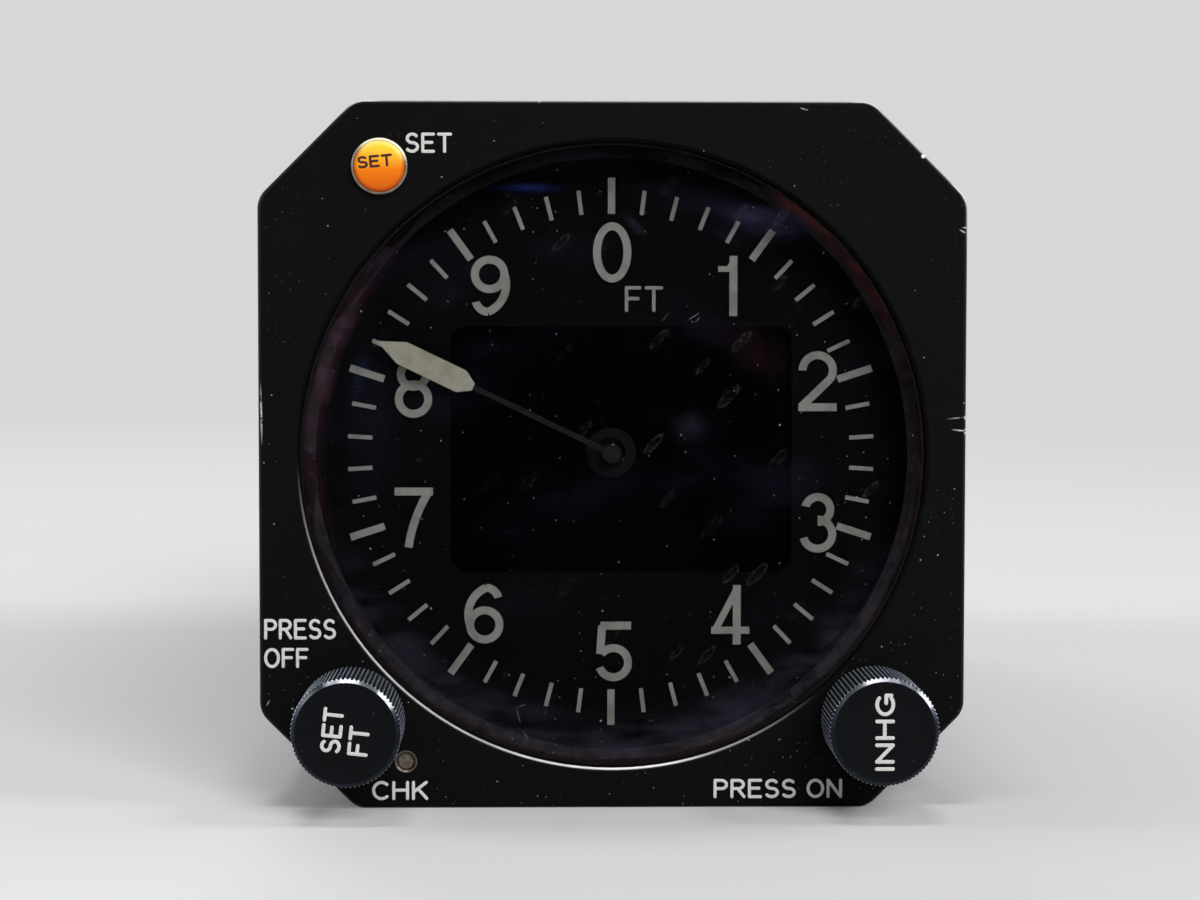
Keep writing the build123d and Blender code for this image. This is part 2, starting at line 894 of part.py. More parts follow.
def make_case_screws():
    front_screws = side_screws(bezel_screw_offset, bezel_screw_depth)
    return front_screws + side_screws(rear_screw_offset, rear_screw_depth)


def make_rear_gasket():
    return slab(case_outline() - case_outline(case_wall), case_rear, rear_front)


def connector_screw_points():
    half = connector_screw_pitch / 2
    return [(x, connector_z + z) for x, z in rectangle_points(half, half)]


def make_rear_plate():
    plate = slab(case_outline(), rear_front, rear_back)
    plate = chamfer(plate.edges().group_by(Axis.Y)[-1], edge_break)
    rim = case_outline(spigot_inset) - case_outline(spigot_inset + rear_spigot_wall)
    plate += slab(rim, rear_spigot_front, rear_front)
    plate -= rod(connector_radius + slip, rear_front, rear_back, 0, connector_z)
    for x, z in connector_screw_points():
        plate -= rod(screw_radius + slip, rear_front, rear_back, x, z)
    for x, z in mirrored_pair(port_x, port_z):
        plate -= rod(port_tail_radius + slip, rear_front, rear_back, x, z)
    for screw in side_screws(rear_screw_offset, rear_screw_depth, running):
        plate -= screw
    return plate


def make_connector_shell():
    flange = Pos(0, connector_z) * RectangleRounded(connector_flange, connector_flange, corner_round)
    shell = slab(flange, rear_back, connector_front)
    for x, z in connector_screw_points():
        shell -= rod(screw_radius + slip, rear_back, connector_front, x, z)
    shell += rod(connector_radius, rear_front - connector_tail, rear_back, 0, connector_z)
    shell += rod(connector_radius, connector_front, connector_mouth, 0, connector_z)
    return shell - rod(connector_bore, rear_front - connector_tail, connector_mouth, 0, connector_z)


def pin_points():
    points = []
    for ring_index, count in enumerate(pin_ring_counts):
        radius = pin_ring_step * ring_index
        for k in range(count):
            angle = 2 * pi * k / count
            points.append((radius * cos(angle), connector_z + radius * sin(angle)))
    return points


def make_connector_insert():
    insert = disc(connector_bore - running, 0, connector_z)
    for x, z in pin_points():
        insert -= disc(pin_radius + running / 2, x, z)
    return slab(insert, rear_front - connector_tail, insert_face)


def make_connector_pins():
    tip = insert_face + pin_recess
    return [rod(pin_radius, tip - pin_length, tip, x, z) for x, z in pin_points()]


def make_pan_screws():
    """The like screws of the drive plate, the motor and the rear connector."""
    through_plate = plate_thickness + screw_grip
    through_flange = connector_flange_thickness + rear_plate_thickness
    screws = [pan_screw(x, z, plate_back, through_plate) for x, z in rectangle_points(standoff_x, standoff_z)]
    screws += [pan_screw(x, z, connector_front, through_flange) for x, z in connector_screw_points()]
    for x, z in motor_screw_points():
        head = rod(screw_head_radius, plate_front - screw_head_height, plate_front, x, z)
        screws.append(head + rod(screw_radius, plate_front, plate_front + through_plate, x, z))
    return screws


# Air ports, their sensors and lines

def make_port(x):
    seal_back = rear_back + port_seal_thickness
    hex_back = seal_back + port_hex_thickness
    port = slab(hexagon(port_hex_radius, x, port_z), seal_back, hex_back)
    port += rod(port_radius, hex_back, hex_back + port_length, x, port_z)
    cone = Cone(port_cone_radius, port_radius, port_cone_length)
    cone_place = Pos(x, hex_back + port_length + port_cone_length / 2, port_z) * Rot(90, 0, 0)
    port += cone_place * cone
    port += rod(port_tail_radius, rear_front - port_tail, seal_back, x, port_z)
    nipple_front = rear_front - port_tail - port_nipple
    port += rod(port_nipple_radius, nipple_front, rear_front - port_tail, x, port_z)
    return port - rod(port_bore, nipple_front, hex_back + port_length + port_cone_length, x, port_z)


def make_port_seals():
    seals = []
    for x, z in mirrored_pair(port_x, port_z):
        outline = disc(port_seal_radius, x, z) - disc(port_tail_radius + slip, x, z)
        seals.append(slab(outline, rear_back, rear_back + port_seal_thickness))
    return seals


sensor_back = sensor_start + sensor_length
sensor_top = -board_z - board_thickness / 2


def make_sensor(x):
    body = block(
        (x - sensor_width / 2, x + sensor_width / 2),
        (sensor_start, sensor_back),
        (sensor_top - sensor_height, sensor_top),
    )
    body = fillet(body.edges().filter_by(Axis.Y), sensor_round)
    nipple_back = sensor_back + sensor_nipple
    nipple = rod(port_nipple_radius, sensor_back, nipple_back, x, port_z)
    return body + nipple - rod(port_bore, sensor_start + sensor_wall, nipple_back, x, port_z)


def make_air_line(x):
    bore = disc(port_nipple_radius + running, x, port_z)
    wall = disc(port_nipple_radius + line_wall, x, port_z)
    return slab(wall - bore, sensor_back + line_gap, rear_front - port_tail - line_gap)


# Boards inside the case

rail_outer = case_width / 2 - case_wall - 2 * slip
rail_inner = rail_outer - rail_thickness


def make_rail(side):
    rail = block(
        sorted((side * rail_inner, side * rail_outer)),
        (plate_back, rear_spigot_front),
        (-rail_height / 2, rail_height / 2),
    )
    for z in (-board_z, board_z):
        slot = block(
            sorted((side * (rail_inner - cut_over), side * (rail_inner + rail_slot_depth))),
            (plate_back + rail_slot_start, rear_spigot_front),
            (z - board_thickness / 2 - slip, z + board_thickness / 2 + slip),
        )
        rail -= slot
    return rail


def make_board(z):
    half = rail_inner + rail_slot_depth - pocket_clearance
    return block((-half, half), (board_start, board_end), (z - board_thickness / 2, z + board_thickness / 2))


board_middle = (board_start + board_end) / 2


def chip(size, x, row, floor):
    """A block of this width, length and height, standing on floor, row behind the board's middle."""
    width, length, height = size
    y = board_middle + row
    return block((x - width / 2, x + width / 2), (y - length / 2, y + length / 2), (floor, floor + height))


def in_row(pitch, k, count=3):
    """Place of the k-th of count parts set out evenly about zero."""
    return pitch * (k - (count - 1) / 2)


def make_processor_chips():
    floor = board_z + board_thickness / 2
    chips = [chip(large_chip, -part_column, front_row, floor)]
    for k in range(3):
        chips.append(chip(memory_chip, part_column, in_row(memory_pitch, k), floor))
        chips.append(chip(small_chip, -part_column + in_row(small_pitch, k), rear_row, floor))
    return chips


def make_power_parts():
    floor = -board_z + board_thickness / 2
    parts = [chip(transformer, -part_column, front_row, floor)]
    can = Cylinder(can_radius, can_height, align=(Align.CENTER, Align.CENTER, Align.MIN))
    for k in range(3):
        parts.append(Pos(part_column, board_middle + front_row + in_row(can_pitch, k), floor) * can)
        parts.append(chip(regulator, in_row(regulator_pitch, k), rear_row, floor))
    return parts


def make_display_ribbon():
    start = board_back + plug_size
    floor = board_z + board_thickness / 2 + plug_size
    run = Line((0, start, ribbon_z), (0, ribbon_drop - ribbon_bend, ribbon_z))
    bend_centre_z = ribbon_z - ribbon_bend
    corner = ribbon_bend / sqrt(2)
    bend = ThreePointArc(
        run @ 1,
        (0, ribbon_drop - ribbon_bend + corner, bend_centre_z + corner),
        (0, ribbon_drop, bend_centre_z),
    )
    drop = Line(bend @ 1, (0, ribbon_drop, floor))
    across = Plane(origin=run @ 0, x_dir=(1, 0, 0), z_dir=(0, 1, 0))
    section = across * Rectangle(ribbon_width, ribbon_thickness)
    return sweep(section, Wire([run, bend, drop]))


processor_top = board_z + board_thickness / 2
harness_z = processor_top + harness_plug_height / 2


def make_board_plugs():
    """Two plugs on the ribbon and one on the harness."""
    half = ribbon_width / 2 + plug_overhang
    side = plug_width / 2
    on_display = block(
        (-half, half),
        (board_back, board_back + plug_size),
        (ribbon_z - side, ribbon_z + side),
    )
    on_processor = block(
        (-half, half),
        (ribbon_drop - side, ribbon_drop + side),
        (processor_top, processor_top + plug_size),
    )
    on_harness = block(
        (-harness_plug_width / 2, harness_plug_width / 2),
        (harness_plug_end - harness_plug_length, harness_plug_end),
        (processor_top, processor_top + harness_plug_height),
    )
    return [on_display, on_processor, on_harness]


def make_main_harness():
    return rod(harness_radius, harness_plug_end, insert_face + pin_recess - pin_length, 0, harness_z)


nodes = {
    "bezel": make_bezel(),
    "glass": make_glass(),
    "glass_seal": make_glass_seal(),
    "dial_spacer": make_dial_spacer(),
    "dial": make_dial(),
    "dial_ticks": make_ticks(),
    "dial_numerals": make_numerals(),
    "display_panel": display_sheet(dial_back, panel_back),
    "display_backlight": display_sheet(panel_back, board_front),
    "display_board": make_display_board(),
    "board_posts": make_posts(dial_back, board_front) + make_posts(board_back, plate_front),
    "pointer": make_pointer(),
    "pointer_cap": make_pointer_cap(),
    "pointer_shaft": make_pointer_shaft(),
    "bearing_tube": make_bearing_tube(),
    "front_bearing": make_front_bearing(),
    "tube_nut": make_tube_nut(),
    "rear_bearing": make_rear_bearing(),
    "pointer_gear": make_pointer_gear(),
    "motor_pinion": make_motor_pinion(),
    "motor_shaft": make_motor_shaft(),
    "drive_motor": make_drive_motor(),
    "drive_plate": make_drive_plate(),
    "plate_standoffs": make_plate_standoffs(),
    "pan_screws": make_pan_screws(),
    "encoders": [make_encoder(x) for x in (-knob_x, knob_x)],
    "encoder_nuts": make_encoder_nuts(),
    "lamp_body": make_lamp_body(),
    "lamp_lens": make_lamp_lens(),
    "lamp_led": make_lamp_led(),
    "lamp_nut": make_lamp_nut(),
    "test_bushing": make_test_bushing(),
    "test_button": make_test_button(),
    "test_switch": make_test_switch(),
    "case": make_case(),
    "case_screws": make_case_screws(),
    "rear_gasket": make_rear_gasket(),
    "rear_plate": make_rear_plate(),
    "connector_shell": make_connector_shell(),
    "connector_insert": make_connector_insert(),
    "connector_pins": make_connector_pins(),
    "air_ports": [make_port(x) for x in (-port_x, port_x)],
    "port_seals": make_port_seals(),
    "air_sensors": [make_sensor(x) for x in (-port_x, port_x)],
    "air_lines": [make_air_line(x) for x in (-port_x, port_x)],
    "side_rails": [make_rail(side) for side in (-1, 1)],
    "processor_board": make_board(board_z),
    "power_board": make_board(-board_z),
    "board_parts": make_processor_chips() + make_power_parts(),
    "board_plugs": make_board_plugs(),
    "display_ribbon": make_display_ribbon(),
    "main_harness": make_main_harness(),
}

for side, x in (("left", -knob_x), ("right", knob_x)):
    nodes[f"{side}_knob"] = make_knob(x)
    nodes[f"{side}_set_screw"] = set_screw(x)
    nodes[f"{side}_knob_shaft"] = make_knob_shaft(x)
    nodes[f"{side}_plunger"] = make_plunger(x)

for name, shape in nodes.items():
    pieces = shape if isinstance(shape, list) else [shape]
    export_step(Compound([solid for piece in pieces for solid in piece.solids()]), f"parts/{name}.step")

print(len(nodes), "nodes written")
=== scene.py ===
from math import cos, pi, radians, sin

import bmesh
import bpy
import numpy as np
from mathutils import Matrix, Vector


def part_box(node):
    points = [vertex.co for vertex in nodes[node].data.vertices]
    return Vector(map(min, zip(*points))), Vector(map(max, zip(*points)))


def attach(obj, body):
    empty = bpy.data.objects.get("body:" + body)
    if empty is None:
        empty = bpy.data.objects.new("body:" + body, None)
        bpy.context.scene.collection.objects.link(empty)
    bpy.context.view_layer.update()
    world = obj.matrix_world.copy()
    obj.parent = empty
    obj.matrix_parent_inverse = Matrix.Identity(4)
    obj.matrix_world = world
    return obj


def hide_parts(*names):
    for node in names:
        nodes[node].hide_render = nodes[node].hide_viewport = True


# Square panel instrument: satin black bezel, round window, dial, display, two knurled knobs, lamp
# and test button. X runs right, Y into the panel and Z up. Blender works in metres, and the values
# in the dictionaries are in millimetres unless they say otherwise.

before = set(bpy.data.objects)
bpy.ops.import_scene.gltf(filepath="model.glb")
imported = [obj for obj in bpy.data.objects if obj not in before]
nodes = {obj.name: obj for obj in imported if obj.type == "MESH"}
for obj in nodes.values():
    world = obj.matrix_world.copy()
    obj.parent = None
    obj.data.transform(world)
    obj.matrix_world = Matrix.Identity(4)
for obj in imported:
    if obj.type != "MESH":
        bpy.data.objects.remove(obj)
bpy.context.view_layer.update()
mm = 0.001
print("frame loaded:", len(nodes), "nodes")


def boxInMm(node):
    low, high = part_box(node)
    return np.array(low) / mm, np.array(high) / mm


# Shader maths. A Signal is one node output, and Python sums on it become Math nodes.

class Signal:
    def __init__(self, finish, socket):
        self.finish = finish
        self.socket = socket

    def calc(self, operation, *values):
        sockets = dict(enumerate(values))
        return self.finish.node("ShaderNodeMath", {"operation": operation}, sockets)

    def __add__(self, other):
        return self.calc("ADD", self, other)

    def __radd__(self, other):
        return self.calc("ADD", other, self)

    def __sub__(self, other):
        return self.calc("SUBTRACT", self, other)

    def __rsub__(self, other):
        return self.calc("SUBTRACT", other, self)

    def __mul__(self, other):
        return self.calc("MULTIPLY", self, other)

    def __rmul__(self, other):
        return self.calc("MULTIPLY", other, self)

    def __truediv__(self, other):
        return self.calc("DIVIDE", self, other)

    def __pow__(self, other):
        return self.calc("POWER", self, other)

    def __abs__(self):
        return self.calc("ABSOLUTE", self)

    def least(self, other, soft=0.0):
        if soft:
            return self.calc("SMOOTH_MIN", self, other, soft)
        return self.calc("MINIMUM", self, other)

    def most(self, other):
        return self.calc("MAXIMUM", self, other)

    def rise(self, low, high):
        # 0 below low, 1 above high and a smooth step between them, or the other way if low > high
        if low > high:
            return 1.0 - self.rise(high, low)
        sockets = {"Value": self, "From Min": low, "From Max": high}
        return self.finish.node("ShaderNodeMapRange", {"interpolation_type": "SMOOTHSTEP"}, sockets)

    def near(self, value, reach):
        # 1 at value, falling to 0 at reach from it
        return abs(self - value).rise(reach, 0.0)

    def other(self, name):
        return Signal(self.finish, self.socket.node.outputs[name])


class Finish:
    def __init__(self, owner):
        owner.use_nodes = True
        self.owner = owner
        self.tree = owner.node_tree
        self.tree.nodes.clear()
        onObject = self.node("ShaderNodeTexCoord", {}, {}, "Object")
        self.place = self.vector("SCALE", onObject, Scale=1 / mm)
        self.x = self.node("ShaderNodeSeparateXYZ", {}, {0: self.place})
        self.y = self.x.other("Y")
        self.z = self.x.other("Z")
        self.front = self.node("ShaderNodeCombineXYZ", {}, {0: self.x, 1: self.z})

    # Any node: its type, its settings, set first, and the values or links of its sockets
    def node(self, kind, settings, sockets, out=0):
        made = self.tree.nodes.new(kind)
        for name, value in settings.items():
            if name == "stops":
                ramp = made.color_ramp
                while len(ramp.elements) < len(value):
                    ramp.elements.new(0.5)
                for element, (position, colour) in zip(ramp.elements, value):
                    element.position = position
                    element.color = colour
            else:
                setattr(made, name, value)
        for name, value in sockets.items():
            if isinstance(value, Signal):
                self.tree.links.new(value.socket, made.inputs[name])
            else:
                made.inputs[name].default_value = value
        return Signal(self, made.outputs[out])

    def vector(self, operation, *values, out=0, **sockets):
        sockets.update(enumerate(values))
        return self.node("ShaderNodeVectorMath", {"operation": operation}, sockets, out)

    def stretched(self, stretch=(1, 1, 1), shift=(0, 0, 0)):
        return self.vector("MULTIPLY_ADD", self.place, stretch, shift)

    def noise(self, scale, detail=2.0, rough=0.5, stretch=(1, 1, 1), shift=(0, 0, 0)):
        # scale counts the pattern's waves in a millimetre
        place = self.stretched(stretch, shift)
        sockets = {"Vector": place, "Scale": scale, "Detail": detail, "Roughness": rough}
        return self.node("ShaderNodeTexNoise", {}, sockets)

    def specks(self, pitch, size, share=0.5, shift=(0, 0, 0), flat=False):
        # round spots of up to this size, in the given share of the cells of this pitch; the flat
        # ones are laid out in the front's plane
        place = self.vector("ADD", self.front if flat else self.place, shift)
        settings = {"voronoi_dimensions": "2D" if flat else "3D"}
        cells = self.node("ShaderNodeTexVoronoi", settings, {"Vector": place, "Scale": 1 / pitch})
        luck = self.node("ShaderNodeSeparateXYZ", {}, {0: cells.other("Color")})
        reach = size / 2 / pitch * (0.35 + 0.65 * luck.other("Y"))
        return (reach - cells).rise(0.0, 0.12 * size / pitch) * luck.rise(1 - share, 1.02 - share)

    def spot(self, x, z, halfLength, halfWidth, tilt):
        # 1 in the middle of a tilted oval of the front, falling evenly to 0 at its edge
        sockets = {
            "Vector": self.front, "Location": (x, z, 0), "Rotation": (0, 0, radians(tilt)),
            "Scale": (halfLength, halfWidth, 1),
        }
        place = self.node("ShaderNodeMapping", {"vector_type": "TEXTURE"}, sockets)
        ball = {"gradient_type": "SPHERICAL"}
        return self.node("ShaderNodeTexGradient", ball, {"Vector": place}, "Fac")

    def offset(self, centre):
        return self.vector("SUBTRACT", self.front, (*centre, 0))

    def radius(self, centre=(0, 0)):
        return self.vector("LENGTH", self.offset(centre), out="Value")

    def facing(self, direction, reach, centre=(0, 0)):
        # 1 in a direction clockwise from the top of the centre, 0 from reach degrees away
        toward = self.vector("NORMALIZE", self.offset(centre))
        aim = (sin(radians(direction)), cos(radians(direction)), 0)
        toward = self.vector("DOT_PRODUCT", toward, aim, out="Value")
        return toward.rise(cos(radians(reach)), cos(radians(reach * 0.5)))

    def wave(self, along, pitch):
        # the sine along a signal, one turn in each pitch
        return self.node("ShaderNodeMath", {"operation": "SINE"}, {0: along * (2 * pi / pitch)})

    def mix(self, share, first, second):
        # each colour is a node, or a tint as it looks on the screen
        first, second = (c if isinstance(c, Signal) else tint(c) for c in (first, second))
        sockets = {0: share, 6: first, 7: second}
        return self.node("ShaderNodeMix", {"data_type": "RGBA"}, sockets, out=2)

    def bump(self, height, depth, strength=1.0):
        # height from 0 to 1 stands for a relief of depth millimetres
        sockets = {"Strength": strength, "Distance": depth * mm, "Height": height}
        return self.node("ShaderNodeBump", {}, sockets)

    def surface(self, **values):
        sockets = {surfaceSockets[name]: value for name, value in values.items()}
        return self.node("ShaderNodeBsdfPrincipled", {}, sockets)

    def plain(self, **values):
        return self.show(self.surface(**values))

    def blend(self, share, first, second):
        return self.node("ShaderNodeMixShader", {}, {0: share, 1: first, 2: second})

    def show(self, shader, kind="Material"):
        made = self.tree.nodes.new("ShaderNodeOutput" + kind)
        self.tree.links.new(shader.socket, made.inputs[0])
        return self.owner


surfaceSockets = {
    "color": "Base Color", "rough": "Roughness", "metal": "Metallic", "gloss": "Specular IOR Level",
    "coat": "Coat Weight", "coatRough": "Coat Roughness", "glow": "Emission Color",
    "glowStrength": "Emission Strength", "normal": "Normal",
}


def newFinish(name):
    return Finish(bpy.data.materials.new(name))


def tint(colour):
    # a colour given as it looks on the screen, from 0 to 255, as Blender's linear values
    shown = np.array(colour) / 255
    linear = np.where(shown <= 0.04045, shown / 12.92, ((shown + 0.055) / 1.055) ** 2.4)
    return (*linear.tolist(), 1.0)


def grey(level):
    return (level, level, level)


def wear(node, material):
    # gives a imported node, or a new piece, its finish
    mesh = node.data
    if not mesh.materials:
        mesh.materials.append(None)
    for slot in node.material_slots:
        slot.material = material


# Stage: a flat pale floor whose far part and the world show one pale colour, soft lamps, a camera

stageSizes = {
    "radius": 3.0, "fadeStart": 0.35, "fadeEnd": 1.3,  # metres
    "floorTint": (206, 206, 206), "mottleTint": (210, 210, 210),
}
backdropLight = {"tint": (214, 215, 217), "lighting": 0.25}
lampSet = {
    # place and size in metres; the two small ones give the gleams along the edges
    "front": {"place": (0.7, -1.9, 1.2), "size": (1.1, 1.1), "watts": 36.0},
    "above": {"place": (-0.07, -0.24, 1.48), "size": (0.4, 0.22), "watts": 5.0},
    "corner": {"place": (1.1, -0.26, 0.98), "size": (0.4, 0.22), "watts": 4.0},
    "left": {"place": (-2.0, 0.3, 0.8), "size": (1.0, 1.0), "watts": 19.0},
    "right": {"place": (2.0, 0.4, 0.8), "size": (1.0, 1.0), "watts": 16.0},
    "back": {"place": (-0.5, 2.2, 1.0), "size": (1.2, 1.2), "watts": 26.0},
}
cameraView = {
    "place": (-8.66, -326.55, 16.88),
    "yaw": -1.2761, "pitch": -2.8882, "roll": -0.0570,  # degrees
    "lens": 82.096, "sensor": 36.0,
}


def gridFaces(rows, columns):
    # the corners of the quads between neighbouring rows and columns of a grid of points, with
    # the last column joined to the first
    index = np.arange(rows * columns).reshape(rows, columns)
    index = np.concatenate([index, index[:, :1]], axis=1)
    corners = [index[:-1, :-1], index[1:, :-1], index[1:, 1:], index[:-1, 1:]]
    return np.stack(corners, axis=-1).reshape(-1, 4)


def roundAngles(count):
    return np.linspace(0, 2 * pi, count, endpoint=False)


def rings(radii, heights, angles):
    # rings round an upright axis: radius times cosine, radius times sine, and the height
    u, w = radii[:, None] * np.cos(angles), radii[:, None] * np.sin(angles)
    return np.stack([u, w, heights[:, None] + 0 * u], axis=-1)


def makePiece(name, grids, sharpAngle=35.0, closed=True):
    # each grid holds points in millimetres, in rings along the piece, all put into one mesh
    points, faces, count = [], [], 0
    for grid in grids:
        points.append(grid.reshape(-1, 3))
        faces.append(gridFaces(*grid.shape[:2]) + count)
        count += len(points[-1])
    points, faces = np.concatenate(points) * mm, np.concatenate(faces)
    mesh = bpy.data.meshes.new(name)
    mesh.vertices.add(len(points))
    mesh.vertices.foreach_set("co", points.astype(np.float32).ravel())
    mesh.loops.add(faces.size)
    mesh.loops.foreach_set("vertex_index", faces.astype(np.int32).ravel())
    mesh.polygons.add(len(faces))
    mesh.polygons.foreach_set("loop_start", np.arange(0, faces.size, 4, dtype=np.int32))
    mesh.update(calc_edges=True)
    work = bmesh.new()
    work.from_mesh(mesh)
    bmesh.ops.remove_doubles(work, verts=work.verts, dist=1e-7)
    if closed:
        bmesh.ops.recalc_face_normals(work, faces=work.faces)
    work.to_mesh(mesh)
    work.free()
    mesh.polygons.foreach_set("use_smooth", np.ones(len(mesh.polygons), bool))
    mesh.set_sharp_from_angle(angle=radians(sharpAngle))
    piece = bpy.data.objects.new(name, mesh)
    bpy.context.scene.collection.objects.link(piece)
    return piece


def seenRays(finish):
    # 1 for a ray that shows the background, straight, in a gloss or through glass
    path = finish.node("ShaderNodeLightPath", {}, {}, "Is Camera Ray")
    return path.most(path.other("Is Glossy Ray")).most(path.other("Is Transmission Ray"))


def makeStage():
    # a disc at the bezel's lowest edge
    s = stageSizes
    radii = np.array([0.0, 0.5, 1.0, 2.0, s["radius"]]) / mm
    grid = rings(radii, np.full(len(radii), boxInMm("bezel")[0][2]), roundAngles(96))
    stage = makePiece("floor", [grid], closed=False)
    f = newFinish("paleFloor")
    far = ((f.x * f.x + f.y * f.y) ** 0.5).rise(s["fadeStart"] / mm, s["fadeEnd"] / mm)
    mottle = f.mix(f.noise(0.004, 3.0), s["floorTint"], s["mottleTint"])
    card = f.surface(color=mottle, rough=0.9, gloss=0.1)
    glow = f.node("ShaderNodeEmission", {}, {"Color": tint(backdropLight["tint"])})
    wear(stage, f.show(f.blend(far * seenRays(f), card, glow)))


def makeWorld():
    f = Finish(bpy.data.worlds.new("studio"))
    pale = tint(backdropLight["tint"])
    lighting, shown = (
        f.node("ShaderNodeBackground", {}, {"Color": pale, "Strength": strength})
        for strength in (backdropLight["lighting"], 1.0)
    )
    bpy.context.scene.world = f.show(f.blend(seenRays(f), lighting, shown), "World")


def makeLamps():
    for name, lamp in lampSet.items():
        data = bpy.data.lights.new(name, "AREA")
        data.shape = "RECTANGLE"
        data.size, data.size_y = lamp["size"]
        data.energy = lamp["watts"]
        light = bpy.data.objects.new(name, data)
        aim = (-Vector(lamp["place"])).to_track_quat("-Z", "Y").to_matrix().to_4x4()
        light.matrix_world = Matrix.Translation(lamp["place"]) @ aim
        light.visible_camera = False
        bpy.context.scene.collection.objects.link(light)


def makeCamera():
    v = cameraView
    data = bpy.data.cameras.new("camera")
    data.lens = v["lens"]
    data.sensor_width = v["sensor"]
    data.clip_start, data.clip_end = 0.01, 20.0
    camera = bpy.data.objects.new("camera", data)
    place = Matrix.Translation(np.array(v["place"]) * mm)
    for angle, axis in ((v["yaw"], "Z"), (v["pitch"], "X"), (v["roll"], "Y"), (90, "X")):
        place = place @ Matrix.Rotation(radians(angle), 4, axis)
    camera.matrix_world = place
    bpy.context.scene.collection.objects.link(camera)
    bpy.context.scene.camera = camera


makeStage()
makeWorld()
makeLamps()
makeCamera()
bpy.context.scene.view_settings.view_transform = "Standard"
print("stage, lamps and camera made")


# Finishes of the front

bezelFinish = {
    "tint": (8, 8, 8), "cloudTint": (15, 14, 13), "bareTint": (205, 201, 205), "halfWidth": 41.4,
    "cutReach": 71.5, "front": -7.0, "cornerBlend": 1.37, "windowRadius": 36.75, "chamfer": 0.4,
    "mouthShadeTint": grey(4), "dustTint": grey(180),
    # worn marks on the front: x, z, half length, half width, tilt in degrees, strength
    "marks": (
        (-8.55, 41.45, 0.4, 0.28, 40, 0.9), (22.2, 40.5, 0.55, 0.14, -15, 0.4),
        (36.2, 35.1, 0.4, 0.3, 45, 0.9), (41.1, 26.75, 0.35, 0.1, 0, 0.7),
        (40.9, 26.3, 0.6, 0.13, -30, 0.9), (40.3, 4.5, 1.3, 0.1, 6, 0.3),
        (41.35, 4.55, 0.3, 0.25, 90, 0.9), (40.6, 3.05, 1.0, 0.12, -6, 0.6),
        (41.35, 2.9, 0.4, 0.25, 90, 1.0), (-41.05, 5.0, 3.9, 0.16, 91, 0.5),
        (-37.56, -29.64, 0.24, 0.2, 0, 1.0), (-40.4, -28.9, 0.5, 0.1, 60, 0.3),
    ),
    "mouthHighlightArc": (204, 66), "mouthHighlightPeak": (182, 22),  # direction clockwise from the top, half range
}


def bezelPaint():
    # Satin black enamel with fine orange peel and dust. It is bare metal in the listed marks and in
    # a thin line round the rim, brighter along the upper edges as partly wear and partly a painted
    # highlight. The window's chamfer is painted darker as shade, and bare metal round its lower
    # left as a painted highlight
    v = bezelFinish
    f = newFinish("satinBlackEnamel")
    ax, az = abs(f.x), abs(f.z)
    side = (v["halfWidth"] - ax).least(v["halfWidth"] - az)
    cut = (v["cutReach"] - ax - az) * 0.5 ** 0.5
    inward = side.least(cut, soft=v["cornerBlend"])
    depth = f.y - v["front"]
    patchy = f.noise(0.5, 4.0, 0.62, shift=(3, 1, 7))
    onRim = depth.near(v["chamfer"] - 0.05, 0.17) * inward.rise(0.45, 0.25)
    # the rim is rubbed a little all round; the brighter line along the top and by the right cut
    # corner is partly wear and partly a painted highlight, where the overhead light catches the
    # edge
    strength = 0.07 + 0.42 * f.z.rise(40.4, 41.0)
    strength += 0.25 * f.x.rise(28.0, 31.0) * f.z.rise(24.0, 28.0)
    strength += 0.55 * f.x.near(29.6, 3.2) * f.z.rise(37.5, 39.0)
    strength += 0.55 * f.x.near(-29.4, 3.0) * f.z.rise(38.0, 39.5)
    strength += 0.65 * f.x.near(40.2, 1.9) * f.z.near(30.3, 3.0)
    worn = onRim * strength * (0.7 + 0.6 * patchy)
    broken = f.noise(1.7, 3.0, 0.7, shift=(4, 2, 1)).rise(0.34, 0.55)
    onFront = depth.rise(0.9, 0.5)
    scratches = 0.0
    for *place, mark in v["marks"]:
        scratches = (f.spot(*place) * (2.2 * mark)).most(scratches)
    worn = worn.most(scratches.least(1.0) * broken * onFront)
    radius = f.radius()
    mouth, chamfer = v["windowRadius"], v["chamfer"]
    onMouth = radius.rise(mouth - 0.2, mouth - 0.08)
    onMouth *= radius.rise(mouth + chamfer * 0.7, mouth + chamfer * 0.3)
    onMouth *= depth.rise(chamfer + 0.1, chamfer)
    # painted highlight: bare metal on the chamfer round the lower left, where the overhead light
    # catches it
    arc = 0.75 * f.facing(*v["mouthHighlightArc"]) + 0.4 * f.facing(*v["mouthHighlightPeak"])
    worn = worn.most(onMouth * arc * (0.55 + 0.6 * patchy)).least(1.0)
    clusters = f.noise(0.22, 3.0, 0.6, shift=(7, 5, 3)).rise(0.5, 0.66)
    clusters *= 0.25 + 0.75 * f.z.rise(15.0, -25.0)
    dust = f.specks(0.9, 0.16, 0.4, shift=(5, 3, 0), flat=True) * clusters
    dust = dust.most(f.specks(5.0, 0.24, 0.5, shift=(8, 2, 0), flat=True)) * onFront
    dust = dust.most(f.specks(4.0, 0.3, 0.5, shift=(8, 2, 6)))
    cloud = f.noise(0.12, 5.0, 0.66).rise(0.42, 0.8)
    base = f.mix(cloud * 0.5, v["tint"], v["cloudTint"])
    base = f.mix(dust * 0.5, base, v["dustTint"])
    # painted shade: the window's chamfer and the mouth of its bore are painted darker
    base = f.mix(onMouth, base, v["mouthShadeTint"])
    base = f.mix(worn, base, v["bareTint"])
    relief = f.noise(6.5, 2.0, 0.5) * 0.5 + f.noise(19.0, 1.0) * 0.25 - worn * 0.8
    rough = 0.44 + 0.1 * f.noise(0.35, 3.0) + 0.1 * dust
    return f.plain(
        color=base, rough=rough, metal=worn * 0.8, gloss=0.04, normal=f.bump(relief, 0.012, 0.5),
    )


